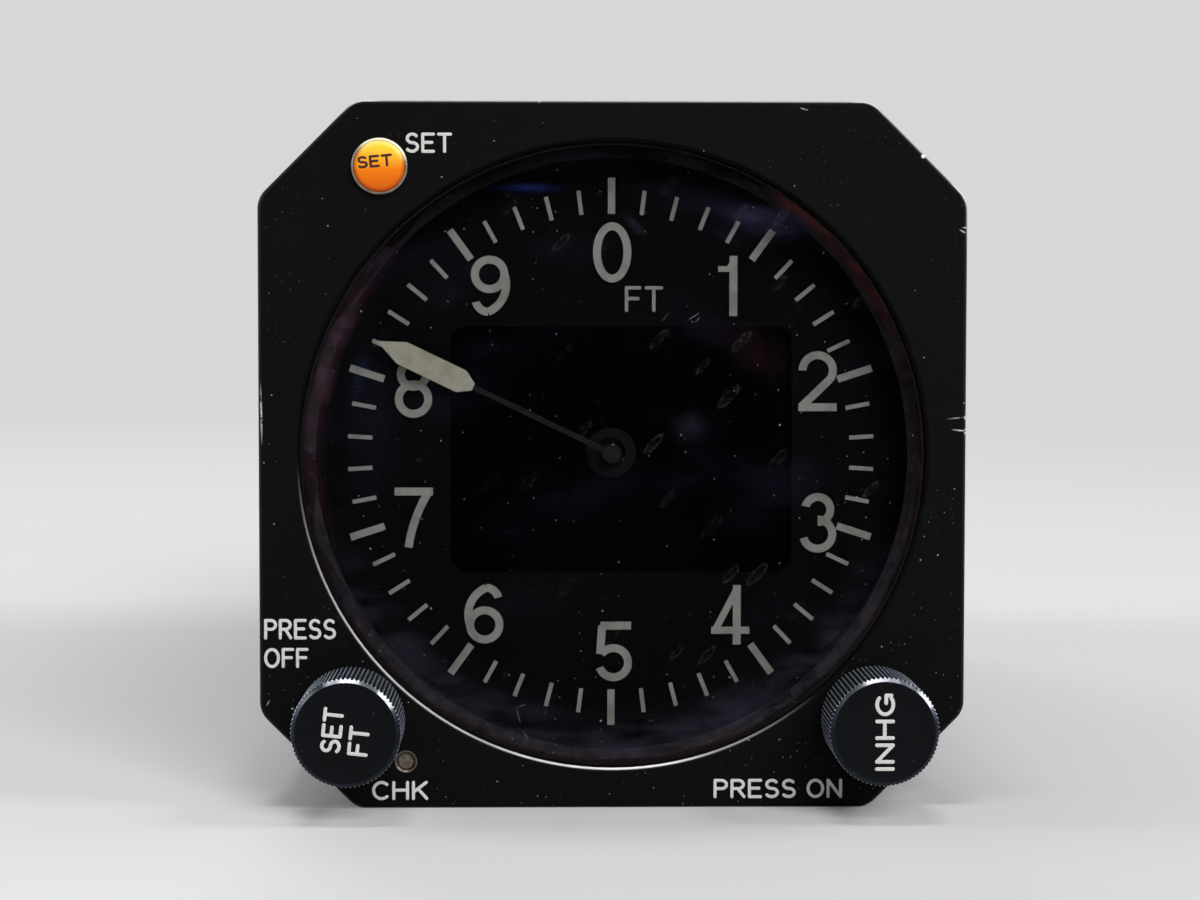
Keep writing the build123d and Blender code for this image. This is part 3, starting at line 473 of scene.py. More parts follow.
glassFinish = {
    "filter": 0.235, "body": (2, 2, 3), "dust": (176, 178, 184), "bevel": (46, 42, 44),
    "bevelStart": 36.25, "slantShine": 0.1, "smear": (90, 90, 130), "hazeAndReflection": (104, 106, 130),
    "dropTilt": -47,
    # painted reflections in colour: x, z, half length, half width, tilt in degrees, colour,
    # strength
    "paintedReflections": (
        (-9.9, 31.35, 5.4, 0.8, 0, (56, 74, 170), 0.26),
        (17.4, 27.5, 8.0, 2.6, -10, (104, 98, 146), 0.26),
        (16.8, 12.1, 7.0, 3.6, -35, (124, 76, 88), 0.09),
        (10.6, 14.7, 5.0, 2.2, -15, (80, 76, 112), 0.09),
        (9.0, 3.4, 3.2, 2.6, 20, (96, 98, 126), 0.12),
        (1.0, -10.4, 26.0, 12.0, 4, (30, 32, 56), 0.05),
        (-28.2, 3.0, 14.0, 4.4, 90, (60, 66, 96), 0.1),
        (8.5, 30.2, 10.0, 2.6, -8, (64, 58, 88), 0.16),
        (2.5, 27.0, 2.6, 0.9, -43, (104, 104, 140), 0.18),
        (13.0, 26.0, 3.0, 1.2, -30, (84, 82, 120), 0.12),
        (-29.6, 9.8, 4.2, 1.3, 80, (64, 74, 122), 0.2),
    ),
    # the same round the rim: direction clockwise from the top, half range, radius, half width
    "rimReflections": (
        (284, 34, 35.4, 2.0, (142, 86, 110), 0.13), (290, 12, 34.9, 1.6, (176, 124, 150), 0.13),
        (48, 20, 36.1, 1.1, (176, 84, 78), 0.17), (80, 34, 36.0, 1.1, (126, 78, 92), 0.08),
        (112, 30, 36.0, 1.1, (108, 82, 94), 0.08), (205, 60, 35.8, 1.1, (100, 70, 52), 0.22),
        (140, 30, 35.7, 1.1, (98, 74, 62), 0.18),
    ),
    # lint and light scratches: x, z, half length, half width, tilt, strength
    "lint": (
        (-11.1, -30.6, 1.3, 0.07, 105, 0.5), (-10.2, -33.0, 1.1, 0.07, 120, 0.45),
        (-10.7, -29.4, 0.7, 0.07, 20, 0.5), (9.5, 16.4, 1.1, 0.09, 30, 0.6),
        (9.9, 16.0, 0.6, 0.08, 55, 0.5), (6.1, 16.3, 1.0, 0.12, 48, 0.25),
        (-14.6, -33.3, 0.8, 0.06, 150, 0.3), (4.6, -31.2, 0.5, 0.06, 10, 0.5),
    ),
}


def windowGlass():
    # A dark filter pane: a Mix Shader lets part of the light straight through. The other part is
    # near black, with painted reflections in colour in the listed places and round the rim, a paler
    # painted reflection along the lower rim, smears, dried drops and dust. A second Mix Shader
    # mirrors the surroundings where the pane is seen at a slant
    v = glassFinish
    f = newFinish("filterGlass")
    radius = f.radius()
    colour, cover = v["body"], 0.0
    streaks = f.noise(0.4, 5.0, 0.68, stretch=(0.4, 1.0, 1.4), shift=(2, 0, 6))
    streaks = 0.25 + 1.1 * streaks.rise(0.32, 0.66)
    # painted reflections, in the listed places and then round the rim
    for *place, reflection, strength in v["paintedReflections"]:
        share = f.spot(*place).rise(0.0, 1.0) * streaks * strength
        colour = f.mix(share, colour, reflection)
        cover = share * 0.2 + cover
    for direction, reach, middle, halfWidth, reflection, strength in v["rimReflections"]:
        share = f.facing(direction, reach) * radius.near(middle, halfWidth) * streaks * strength
        colour = f.mix(share, colour, reflection)
        cover = share * 0.2 + cover
    smear = f.noise(0.06, 4.0, 0.62, stretch=(1.0, 1.0, 2.0), shift=(4, 0, 9)).rise(0.50, 0.76)
    colour = f.mix(smear * 0.08, colour, v["smear"])
    # a paler band near the lower rim: a painted reflection of the floor
    hazeAndReflection = radius.rise(29.5, 33.5) * radius.rise(36.6, 35.0) * f.z.rise(-4.0, -26.0)
    hazeAndReflection *= f.noise(0.2, 5.0, 0.7, stretch=(0.5, 1, 1.5)).rise(0.38, 0.66)
    colour = f.mix(hazeAndReflection * 0.26, colour, v["hazeAndReflection"])
    tilted = {"Vector": f.front, "Angle": radians(v["dropTilt"])}
    tilted = f.node("ShaderNodeVectorRotate", {"rotation_type": "Z_AXIS"}, tilted)
    slim = f.vector("MULTIPLY_ADD", tilted, (0.3, 1.0, 0), (2.3, 5.1, 0))
    flat = {"voronoi_dimensions": "2D"}
    cells = f.node("ShaderNodeTexVoronoi", flat, {"Vector": slim, "Scale": 0.24})
    luck = f.node("ShaderNodeSeparateXYZ", {}, {0: cells.other("Color")})
    fromEdge = cells - (0.07 + 0.05 * luck.other("Y"))
    drops = fromEdge.near(0.0, 0.03) + 0.2 * fromEdge.rise(0.0, -0.02)
    drops = drops * luck.rise(0.4, 0.46) * (0.3 + 0.7 * luck.other("Z"))
    drops = drops * f.noise(1.1, 4.0, 0.7).rise(0.34, 0.66) * (0.35 + 0.65 * f.x.rise(-25.0, 5.0))
    dust = f.specks(2.6, 0.18, 0.4, shift=(1, 2, 0), flat=True)
    dust = dust.most(f.specks(7.0, 0.28, 0.4, shift=(6, 3, 0), flat=True))
    for *place, strength in v["lint"]:
        dust = dust.most(f.spot(*place).rise(0.0, 0.6) * strength)
    outerFace = boxInMm("glass")[0][1]
    onOuter = f.y.rise(outerFace + 1.0, outerFace + 0.5)
    dust, drops = dust * onOuter, drops * onOuter
    bevel = radius.rise(v["bevelStart"], v["bevelStart"] + 0.15)
    colour = f.mix(drops * 0.2, colour, v["dust"])
    colour = f.mix(dust * 0.8, colour, v["dust"])
    colour = f.mix(bevel * 0.8, colour, v["bevel"])
    cover = v["filter"] + cover + 0.3 * dust + 0.03 * drops + 0.06 * hazeAndReflection + 0.4 * bevel
    film = f.surface(color=colour, rough=0.6, gloss=0.0)
    pane = f.blend(cover.least(1.0), f.node("ShaderNodeBsdfTransparent", {}, {}), film)
    slant = f.node("ShaderNodeLayerWeight", {}, {"Blend": 0.5}, "Facing").rise(0.2, 1.0)
    mirror = f.surface(color=tint(grey(235)), rough=0.05 + 0.25 * smear, metal=1.0)
    return f.show(f.blend(slant * v["slantShine"], pane, mirror))


sealFinish = {
    "tint": (38, 36, 40), "mottleTint": (64, 61, 68), "shadedTint": (12, 11, 12),
    "unshaded": ((195, 150), (75, 80)),  # direction clockwise from the top, half range
}


def sealRubber():
    # Dark rubber in a mottled tint, with painted shade making it near black but towards the bottom
    # and the right
    v = sealFinish
    f = newFinish("darkSeal")
    mottle = f.noise(0.7, 4.0, 0.65).rise(0.35, 0.7)
    base = f.mix(mottle, v["tint"], v["mottleTint"])
    # painted shade: the mottled tint shows only towards the bottom and the right
    unshaded = f.facing(*v["unshaded"][0]).most(0.6 * f.facing(*v["unshaded"][1]))
    base = f.mix(0.1 + 0.9 * unshaded, v["shadedTint"], base)
    return f.plain(color=base, rough=0.62, gloss=0.08, normal=f.bump(f.noise(5.0), 0.03, 0.6))


def dialPaint():
    # Matt near-black with a fine tooth, faint cloudiness and a few pale specks
    f = newFinish("dialBlack")
    cloud = f.noise(0.09, 4.0, 0.6).rise(0.35, 0.75)
    specks = f.specks(3.1, 0.18, 0.25, flat=True).most(f.specks(4.2, 0.22, 0.3, shift=(4, 2, 8)))
    base = f.mix(cloud, (15, 15, 15), (19, 19, 22))
    base = f.mix(specks * 0.5, base, grey(150))
    return f.plain(color=base, rough=0.75, gloss=0.04, normal=f.bump(f.noise(9.0, 2.0), 0.01, 0.5))


printFinish = {"tint": (196, 197, 190), "aged": (170, 171, 163)}


def dialPrint():
    # Off-white ink, aged in patches and lightly speckled
    f = newFinish("dialPrint")
    aged = f.noise(0.4, 4.0, 0.6).rise(0.4, 0.7)
    base = f.mix(aged, printFinish["tint"], printFinish["aged"])
    base = f.mix(f.specks(0.9, 0.12, 0.3) * 0.5, base, grey(70))
    return f.plain(color=base, rough=0.6, gloss=0.3, normal=f.bump(f.noise(7.0), 0.008, 0.5))


def displayFace():
    # A display that is off: near black, a little glossy, with a few specks
    f = newFinish("darkDisplay")
    cloud = f.noise(0.08, 3.0).rise(0.35, 0.8)
    base = f.mix(cloud, (1, 1, 1), (3, 3, 5))
    base = f.mix(f.specks(3.3, 0.16, 0.35, shift=(2, 6, 0), flat=True) * 0.5, base, grey(120))
    return f.plain(color=base, rough=0.3 + 0.1 * cloud, gloss=0.02)


pointerFinish = {
    "reading": 295.65, "tip": 31.0, "paddle": 12.7,
    "cream": (222, 218, 198), "soiled": (198, 193, 173), "arm": (24, 24, 25),
}


def pointerPaint():
    # Cream enamel on the paddle and black on the arm, split at one place along the pointer
    v = pointerFinish
    f = newFinish("pointerEnamel")
    angle = radians(v["reading"])
    along = f.x * sin(angle) + f.z * cos(angle)
    neck = v["tip"] - v["paddle"]
    onPaddle = along.rise(neck - 0.05, neck + 0.05)
    onFace = f.y.rise(-0.1, -0.35)
    soil = f.noise(0.7, 4.0, 0.6).rise(0.4, 0.75)
    cream = f.mix(soil, v["cream"], v["soiled"])
    cream = f.mix(f.specks(1.1, 0.12, 0.3) * 0.5, cream, grey(90))
    base = f.mix(onPaddle * (0.3 + 0.7 * onFace), v["arm"], cream)
    return f.plain(color=base, rough=0.55, gloss=0.25, normal=f.bump(f.noise(6.0), 0.01, 0.5))


def hubMetal():
    # Dark grey anodise with fine turned rings
    f = newFinish("hubGrey")
    sockets = {"W": f.radius(), "Scale": 9.0, "Detail": 2.0}
    turned = f.node("ShaderNodeTexNoise", {"noise_dimensions": "1D"}, sockets)
    base = f.mix(turned, (19, 19, 20), (30, 30, 31))
    return f.plain(color=base, rough=0.6, gloss=0.08, normal=f.bump(turned, 0.01, 0.5))


def shadedBearingFace():
    # The front bearing's face in the tube's mouth, painted near black as the shade down the tube
    f = newFinish("shadedBearingFace")
    stain = f.noise(1.4, 3.0)
    base = f.mix(stain, (9, 9, 10), (18, 18, 19))
    return f.plain(color=base, rough=0.5 + 0.1 * stain, gloss=0.1)


knobFinish = {
    "teeth": 76, "toothDepth": 0.2, "stepsPerTooth": 8, "ringPitch": 1.0, "ringCut": 0.5,
    "chamfer": 0.5, "collar": 0.8, "recessRadius": 5.0, "recessDepth": 3.2, "boreRadius": 1.6,
    "frontWall": 2.1, "faceDish": 0.04, "holeRadius": 1.04, "holeStart": 1.8, "holeEnd": 9.0,
    "tint": (18, 19, 22), "bevelTint": (40, 48, 62), "gleamTint": (196, 198, 208),
    "crestTint": (196, 208, 226),
    # painted highlights on lengths of the front edge: direction clockwise from the top, half range,
    # strength
    "gleams": ((5, 75, 0.35), (-4, 28, 1.0), (50, 16, 1.0)),
}


def knobAnodise(centreX):
    # Blue-black anodise, rubbed paler on the ridges' crests and a little round the front edge, with
    # painted highlights on lengths of the front edge, mostly at the top
    v = knobFinish
    f = newFinish("knobAnodise")
    low, high = boxInMm("left_knob")
    radius, front = (high[2] - low[2]) / 2, low[1]
    centre = (centreX, (high[2] + low[2]) / 2)
    reach = f.radius(centre)
    patchy = f.noise(0.5, 4.0, 0.6).rise(0.3, 0.65)
    lip = radius - v["chamfer"]
    bevel = reach.rise(lip - 0.06, lip + 0.02) * f.y.rise(front + 0.6, front + 0.45)
    crest = reach.rise(radius - 0.12, radius - 0.03) * f.y.rise(front + 0.3, front + 0.5)
    # painted highlights on the front edge, turning with the knob
    gleam = 0.0
    for direction, half, strength in v["gleams"]:
        gleam = (f.facing(direction, half, centre) * strength).most(gleam)
    gleam *= 0.6 + 0.4 * patchy
    bevelTone = f.mix(gleam, v["bevelTint"], v["gleamTint"])
    base = f.mix(bevel * (0.2 + 0.4 * patchy).most(gleam), v["tint"], bevelTone)
    base = f.mix(crest * (0.7 + 0.5 * patchy), base, v["crestTint"])
    base = f.mix(f.specks(1.3, 0.14, 0.3) * 0.35, base, grey(150))
    return f.plain(
        color=base, rough=0.30 + 0.12 * f.noise(0.6, 3.0), metal=0.85, gloss=0.2,
        normal=f.bump(f.noise(9.0, 2.0), 0.008, 0.5),
    )


lampFinish = {
    "top": (255, 216, 60), "middle": (232, 118, 8), "bottom": (200, 86, 4), "edge": (168, 62, 4),
    # glare and the crescent are painted highlights, on the side given by glareSide
    "glare": (255, 250, 226), "highlightCrescent": (255, 236, 130), "glareSide": (12, 74),
}


def lampSize():
    low, high = boxInMm("lamp_lens")
    return float(high[0] - low[0]) / 2, tuple(((low + high) / 2)[[0, 2]].tolist())


def lampAmber():
    # Amber plastic, with painted light: yellow above and orange below as if lit from above, darker
    # towards its edge, a painted highlight crescent near the top right, and a faint glow of the
    # same colours
    v = lampFinish
    f = newFinish("amberLens")
    radius, centre = lampSize()
    reach = f.radius(centre)
    # painted light: yellow at the top and orange at the bottom, as if lit from above
    height = (f.z - centre[1]) / (2 * radius) + 0.5 + 0.12 * (f.noise(0.4, 2.0) - 0.5)
    stops = [(0.05, tint(v["bottom"])), (0.42, tint(v["middle"])), (0.95, tint(v["top"]))]
    base = f.node("ShaderNodeValToRGB", {"stops": stops}, {0: height})
    base = f.mix(reach.rise(radius * 0.8, radius) * 0.8, base, v["edge"])
    # painted highlight: a pale crescent near the edge at the top and upper right
    glare = f.facing(*v["glareSide"], centre) * reach.rise(radius * 0.76, radius * 0.92)
    base = f.mix(glare * 0.7, base, v["highlightCrescent"])
    # the faint glow in the lens's own colours is painted light too
    return f.plain(
        color=base, rough=0.3 + 0.1 * f.noise(1.2), gloss=0.08, coat=0.12, coatRough=0.1,
        glow=base, glowStrength=0.1, normal=f.bump(f.noise(3.0), 0.01, 0.4),
    )


def lampRim():
    # Clear plastic shoulder, a little yellowed, with a painted glare on its top and upper right
    f = newFinish("clearRim")
    glare = f.facing(*lampFinish["glareSide"], lampSize()[1])
    hazeAndReflection = f.noise(0.9, 3.0).rise(0.3, 0.7)
    base = f.mix(hazeAndReflection, (128, 120, 104), (96, 86, 70))
    # painted glare on the shoulder's top and upper right
    base = f.mix(glare * 0.9, base, lampFinish["glare"])
    return f.plain(color=base, rough=0.2 + 0.1 * hazeAndReflection, gloss=0.6, coat=0.8, coatRough=0.06)


def inkPaint(name, ink, worn):
    # Silk-screened ink, worn in patches
    f = newFinish(name)
    patch = f.noise(1.6, 4.0, 0.6).rise(0.45, 0.75)
    base = f.mix(patch * 0.6, ink, worn)
    return f.plain(color=base, rough=0.5, gloss=0.3, normal=f.bump(f.noise(8.0), 0.006, 0.4))


def buttonPlastic():
    # Brown plastic in two mottled tints
    f = newFinish("brownButton")
    base = f.mix(f.noise(2.0, 3.0).rise(0.3, 0.7), (70, 60, 53), (104, 92, 84))
    return f.plain(color=base, rough=0.5, gloss=0.3, normal=f.bump(f.noise(7.0), 0.02, 0.5))


# Finishes of what lies behind and inside

def metal(name, first, second, rough=0.34, grain=(1, 0.05, 1), scale=2.0, shine=1.0, depth=0.01):
    # A plated or machined metal: two near tints in a fine directed grain, with its relief
    f = newFinish(name)
    lines = f.noise(scale, 3.0, 0.6, stretch=grain)
    stain = f.noise(0.12, 4.0, 0.6).rise(0.35, 0.75)
    base = f.mix(lines * 0.5 + stain * 0.5, first, second)
    return f.plain(
        color=base, rough=rough + 0.14 * stain, metal=shine, normal=f.bump(lines, depth, 0.6),
    )


def moulded(name, first, second, rough=0.5, grain=4.0, depth=0.02, specular=0.4):
    # A moulded plastic or rubber: a fine even tooth with a slow change of tint
    f = newFinish(name)
    stain = f.noise(0.1, 4.0, 0.6).rise(0.35, 0.75)
    base = f.mix(stain, first, second)
    return f.plain(
        color=base, rough=rough + 0.1 * stain, gloss=specular,
        normal=f.bump(f.noise(grain, 2.0), depth, 0.6),
    )


caseFinish = {
    "halfWidth": 40.1, "cutReach": 70.6,
    "tint": (30, 30, 32), "cloudTint": (40, 40, 43), "bareTint": (128, 126, 122),
}


def casePaint():
    # Black paint over sheet metal, rubbed along the folds of the cut-corner tube
    v = caseFinish
    f = newFinish("casePaint")
    ax, az = abs(f.x), abs(f.z)
    half = v["halfWidth"]
    fold = ax.near(half, 0.2).most(az.near(half, 0.2)) * (ax + az).near(v["cutReach"], 0.7)
    patchy = f.noise(0.07, 6.0, 0.75).rise(0.44, 0.68)
    slides = f.noise(0.5, 5.0, 0.7, stretch=(1, 0.02, 1)).rise(0.6, 0.75)
    slides = slides * f.noise(0.05, 3.0).rise(0.4, 0.6) * ax.most(az).rise(half - 0.3, half)
    worn = (fold * patchy * 0.4).most(slides * 0.12)
    base = f.mix(f.noise(0.06, 4.0).rise(0.3, 0.8), v["tint"], v["cloudTint"])
    base = f.mix(worn, base, v["bareTint"])
    return f.plain(
        color=base, rough=0.48 + 0.1 * f.noise(0.3), metal=worn * 0.6, gloss=0.3,
        normal=f.bump(f.noise(4.0, 2.0) - worn, 0.015, 0.5),
    )


threadSizes = {
    # pitch, and where the turns start and end along Y: on the shell, and from the ports' tips
    "connector": (1.2, 184.5, 195.4), "ports": (1.27, -14.0, -2.6),
}


def threadTurns(f, pitch, start, end):
    # turns of a thread along Y: half a sine, faded in and out at the ends
    turns = f.wave(f.y, pitch) * 0.5 + 0.5
    return turns * f.y.rise(start, start + 0.4) * f.y.rise(end, end - 0.4)


def connectorPlate():
    # Olive plating with the coupling thread
    f = newFinish("olivePlating")
    turns = threadTurns(f, *threadSizes["connector"])
    stain = f.noise(0.2, 4.0, 0.6).rise(0.3, 0.75)
    base = f.mix(stain, (96, 98, 80), (70, 72, 60))
    return f.plain(color=base, rough=0.42, metal=0.75, normal=f.bump(turns, 0.3, 1.0))


def portMetal():
    # Machined fitting with a thread behind its hexagon
    f = newFinish("portMetal")
    pitch, start, end = threadSizes["ports"]
    tip = boxInMm("air_ports")[1][1]
    turns = threadTurns(f, pitch, tip + start, tip + end)
    stain = f.noise(0.3, 4.0, 0.6).rise(0.3, 0.75)
    base = f.mix(stain, (176, 178, 182), (140, 142, 146))
    rough = 0.32 + 0.1 * stain
    return f.plain(color=base, rough=rough, metal=1.0, normal=f.bump(turns, 0.3, 1.0))


def boardMask():
    # Green solder mask over copper tracks, with scattered pads
    f = newFinish("solderMask")
    sockets = {"Vector": f.stretched((0.6, 0.6, 0.6)), "Scale": 1.0}
    cells = f.node("ShaderNodeTexVoronoi", {"distance": "MANHATTAN", "feature": "F2"}, sockets)
    tracks = cells.near(0.8, 0.06)
    pads = f.specks(2.54, 1.0, 0.5)
    base = f.mix(tracks, (24, 78, 50), (48, 112, 72))
    base = f.mix(pads, base, (168, 150, 96))
    return f.plain(
        color=base, rough=0.35, metal=pads * 0.8, normal=f.bump(tracks.most(pads), 0.03, 0.6),
    )


def ribbonFilm():
    # Amber film over parallel tracks, one in each millimetre
    f = newFinish("amberFilm")
    tracks = f.wave(f.x, 1.0).rise(-0.2, 0.2)
    base = f.mix(tracks, (150, 92, 28), (190, 128, 52))
    return f.plain(color=base, rough=0.35, normal=f.bump(tracks, 0.04, 0.5))


dialInk = dialPrint()
plated = metal("platedSteel", (170, 170, 168), (136, 136, 136))
brass = metal("brass", (206, 172, 104), (172, 138, 76), grain=(1, 1, 1), scale=1.2)
rolled = metal("machinedAluminium", (196, 198, 200), (172, 174, 178), 0.36, grain=(1, 1, 0.05))
packedFinishes = [
    (bezelPaint(), ["bezel"]),
    (windowGlass(), ["glass"]),
    (sealRubber(), ["glass_seal", "rear_gasket", "port_seals", "air_lines"]),
    (dialPaint(), ["dial", "dial_spacer"]),
    (dialInk, ["dial_ticks", "dial_numerals"]),
    (displayFace(), ["display_panel"]),
    (moulded("backlightWhite", (206, 206, 200), (188, 188, 180), 0.4), ["display_backlight"]),
    (boardMask(), ["display_board", "processor_board", "power_board"]),
    (moulded("darkEpoxy", (34, 34, 36), (48, 48, 50), 0.5), [
        "board_parts", "board_plugs", "main_harness", "test_switch",
    ]),
    (ribbonFilm(), ["display_ribbon"]),
    (plated, [
        "board_posts", "plate_standoffs", "pan_screws", "pointer_shaft", "motor_shaft",
        "left_set_screw", "right_set_screw", "left_knob_shaft", "right_knob_shaft", "encoder_nuts",
        "lamp_nut", "case_screws",
    ]),
    (pointerPaint(), ["pointer", "pointer_cap"]),
    (hubMetal(), ["bearing_tube"]),
    (shadedBearingFace(), ["front_bearing"]),
    (brass, ["rear_bearing", "tube_nut", "pointer_gear", "motor_pinion"]),
    (metal("motorCan", (158, 160, 164), (130, 132, 138), 0.3), ["drive_motor"]),
    (rolled, ["drive_plate", "side_rails"]),
    (moulded("encoderBlack", (36, 36, 38), (52, 52, 54), 0.45), [
        "encoders", "left_plunger", "right_plunger", "air_sensors",
    ]),
    (lampRim(), ["lamp_body"]),
    (lampAmber(), ["lamp_lens", "lamp_led"]),
    (buttonPlastic(), ["test_button"]),
    (metal("wornBushing", (128, 120, 110), (84, 78, 72), 0.4), ["test_bushing"]),
    (casePaint(), ["case", "rear_plate"]),
    (connectorPlate(), ["connector_shell"]),
    (moulded("insertGrey", (62, 62, 66), (78, 78, 80), 0.6), ["connector_insert"]),
    (metal("goldContacts", (226, 186, 96), (204, 160, 76), 0.22), ["connector_pins"]),
    (portMetal(), ["air_ports"]),
]
for material, names in packedFinishes:
    for name in names:
        wear(nodes[name], material)
print("finishes given to the packed nodes")


# Knobs: a profile of radius over depth, turned about the knob's axis. On the side the radius is
# the lesser of the knurl's and the chamfer's there, so the ridges run out scalloped. A ridge's
# height is a wave round the axis times a shallower wave along it.

def knobGrid(node):
    v = knobFinish
    low, high = boxInMm(node)
    centreX, centreZ = (low[0] + high[0]) / 2, (low[2] + high[2]) / 2
    radius, front, back = (high[2] - low[2]) / 2, low[1], high[1]
    smooth = radius - v["toothDepth"]
    recessFloor = back - v["recessDepth"]
    boreFloor = front + v["frontWall"]
    inner = [
        (0.0, boreFloor), (v["boreRadius"], boreFloor), (v["boreRadius"], recessFloor),
        (v["recessRadius"], recessFloor), (v["recessRadius"], back - 0.15),
        (v["recessRadius"] + 0.15, back), (smooth - 0.15, back),
    ]
    collarFront, ridgeStart = back - v["collar"], front + v["chamfer"]
    ridgeDepths = np.arange(ridgeStart + 0.125, collarFront - 0.4, v["ringPitch"] / 8)
    sideDepths = [back - 0.15, *(collarFront + step for step in (0.02, -0.03, -0.12, -0.3))]
    sideDepths += [*ridgeDepths[::-1], *np.linspace(ridgeStart, front, 11)]
    lip = radius - v["chamfer"]
    dish = front + v["faceDish"]
    face = [(lip - 0.06, front), *((r, dish) for r in (lip - 0.3, lip * 0.6, lip * 0.3, 0.0))]
    angles = roundAngles(v["teeth"] * v["stepsPerTooth"])
    ridge = (0.5 + 0.5 * np.cos(v["teeth"] * angles)) ** 0.75
    rows = [(np.full_like(angles, r), y) for r, y in inner]
    for y in sideDepths:
        runOut = min(max((collarFront - y) / 0.3, 0.0), 1.0)
        ringTurn = 2 * pi * max(y - ridgeStart, 0.0) / v["ringPitch"]
        ring = 1 - v["ringCut"] * (0.5 - 0.5 * cos(ringTurn)) * runOut
        side = smooth + v["toothDepth"] * ridge * ring * sin(runOut * pi / 2)
        bevel = lip + 1.05 * max(y - front, 0.0)
        rows.append((np.minimum(side, bevel), y))
    rows += [(np.full_like(angles, r), y) for r, y in face]
    radii = np.array([r for r, y in rows])
    depths = np.array([y for r, y in rows])[:, None] + 0 * radii
    x, z = centreX + radii * np.sin(angles), centreZ + radii * np.cos(angles)
    return np.stack([x, depths, z], axis=-1), centreX, centreZ


def cutSetScrewHole(knob, x, y, z):
    # a cylinder along -Z from the knob's axis, taken out of the knob
    radii = np.array([0, 1, 1, 0]) * knobFinish["holeRadius"]
    heights = -np.repeat([knobFinish["holeStart"], knobFinish["holeEnd"]], 2)
    grid = rings(radii, heights, roundAngles(32)) + (x, y, z)
    cutter = makePiece("holeCutter", [grid])
    hole = knob.modifiers.new("hole", "BOOLEAN")
    hole.operation = "DIFFERENCE"
    hole.object = cutter
    hole.solver = "EXACT"
    bpy.context.view_layer.update()
    drilled = knob.evaluated_get(bpy.context.evaluated_depsgraph_get())
    done = bpy.data.meshes.new_from_object(drilled)
    knob.modifiers.clear()
    knob.data = done
    bpy.data.objects.remove(cutter)


def makeKnobs():
    for side in ("left", "right"):
        grid, x, z = knobGrid(f"{side}_knob")
        knob = makePiece(f"{side}KnurledKnob", [grid], 40.0)
        screwLow, screwHigh = boxInMm(f"{side}_set_screw")
        cutSetScrewHole(knob, x, (screwLow[1] + screwHigh[1]) / 2, z)
        wear(knob, knobAnodise(x))
        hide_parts(f"{side}_knob")
        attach(knob, f"{side}_knob_set")


makeKnobs()
print("knobs made")


# Lettering: each stroke is a path, with a half-ellipse of ink carried along it and drawn in round
# at both ends. Letters stand in a box one unit high.

def line(*corners):
    points = [np.linspace(a, b, 5)[:-1] for a, b in zip(corners[:-1], corners[1:])]
    return np.concatenate([*points, [corners[-1]]])


def arc(centre, radii, start, end, count=18):
    angles = np.radians(np.linspace(start, end, count))
    return np.stack([np.cos(angles), np.sin(angles)], axis=-1) * radii + centre


def joined(*paths):
    return np.concatenate([paths[0], *[p[1:] for p in paths[1:]]])


bowl = joined(
    line((0, 1), (0.3, 1)), arc((0.3, 0.75), (0.25, 0.25), 90, -90), line((0.3, 0.5), (0, 0.5)),
)
stem = line((0, 0), (0, 1))
roundTop = arc((0.35, 0.5), (0.35, 0.5), 48, 312, 26)
letterStrokes = {
    # each letter's width and its strokes
    "C": (0.62, [roundTop]),
    "E": (0.54, [
        stem, line((0, 1), (0.54, 1)), line((0, 0.52), (0.46, 0.52)), line((0, 0), (0.54, 0)),
    ]),
    "F": (0.52, [stem, line((0, 1), (0.52, 1)), line((0, 0.52), (0.45, 0.52))]),
    "G": (0.68, [roundTop, line((0.4, 0.44), (0.68, 0.44)), line((0.68, 0.44), (0.68, 0.12))]),
    "H": (0.6, [stem, line((0.6, 0), (0.6, 1)), line((0, 0.52), (0.6, 0.52))]),
    "I": (0.0, [stem]),
    "K": (0.58, [stem, line((0.56, 1), (0, 0.4)), line((0.2, 0.6), (0.58, 0))]),
    "N": (0.6, [stem, line((0, 1), (0.6, 0)), line((0.6, 0), (0.6, 1))]),
    "O": (0.7, [arc((0.35, 0.5), (0.35, 0.5), 90, 450, 34)]),
    "P": (0.55, [stem, bowl]),
    "R": (0.58, [stem, bowl, line((0.28, 0.5), (0.58, 0))]),
    "S": (0.55, [joined(
        arc((0.28, 0.75), (0.25, 0.25), 35, 270, 16),
        arc((0.27, 0.255), (0.28, 0.255), 90, -145, 16),
    )]),
    "T": (0.6, [line((0, 1), (0.6, 1)), line((0.3, 0), (0.3, 1))]),
}


def strokeGrid(path, stroke, rise):
    # half-width times cosine across the path, rise times sine out of the surface
    tangent = np.gradient(path, axis=0)
    tangent /= np.linalg.norm(tangent, axis=1, keepdims=True)
    turns = np.radians([0, 25, 50, 75])
    half = stroke / 2
    lead = path[0] - tangent[0] * half * np.cos(turns)[:, None]
    tail = path[-1] + tangent[-1] * half * np.cos(turns[::-1])[:, None]
    spine = np.concatenate([lead, path, tail])
    ahead = np.concatenate([np.repeat(tangent[:1], 4, 0), tangent, np.repeat(tangent[-1:], 4, 0)])
    size = np.concatenate([np.sin(turns), np.ones(len(path)), np.sin(turns[::-1])])
    across = np.stack([-ahead[:, 1], ahead[:, 0]], axis=-1)
    around = roundAngles(12)
    flat = spine[:, None] + across[:, None] * (half * size[:, None] * np.cos(around))[..., None]
    height = rise * size[:, None] * np.sin(around)
    return np.concatenate([flat, height[..., None]], axis=-1)


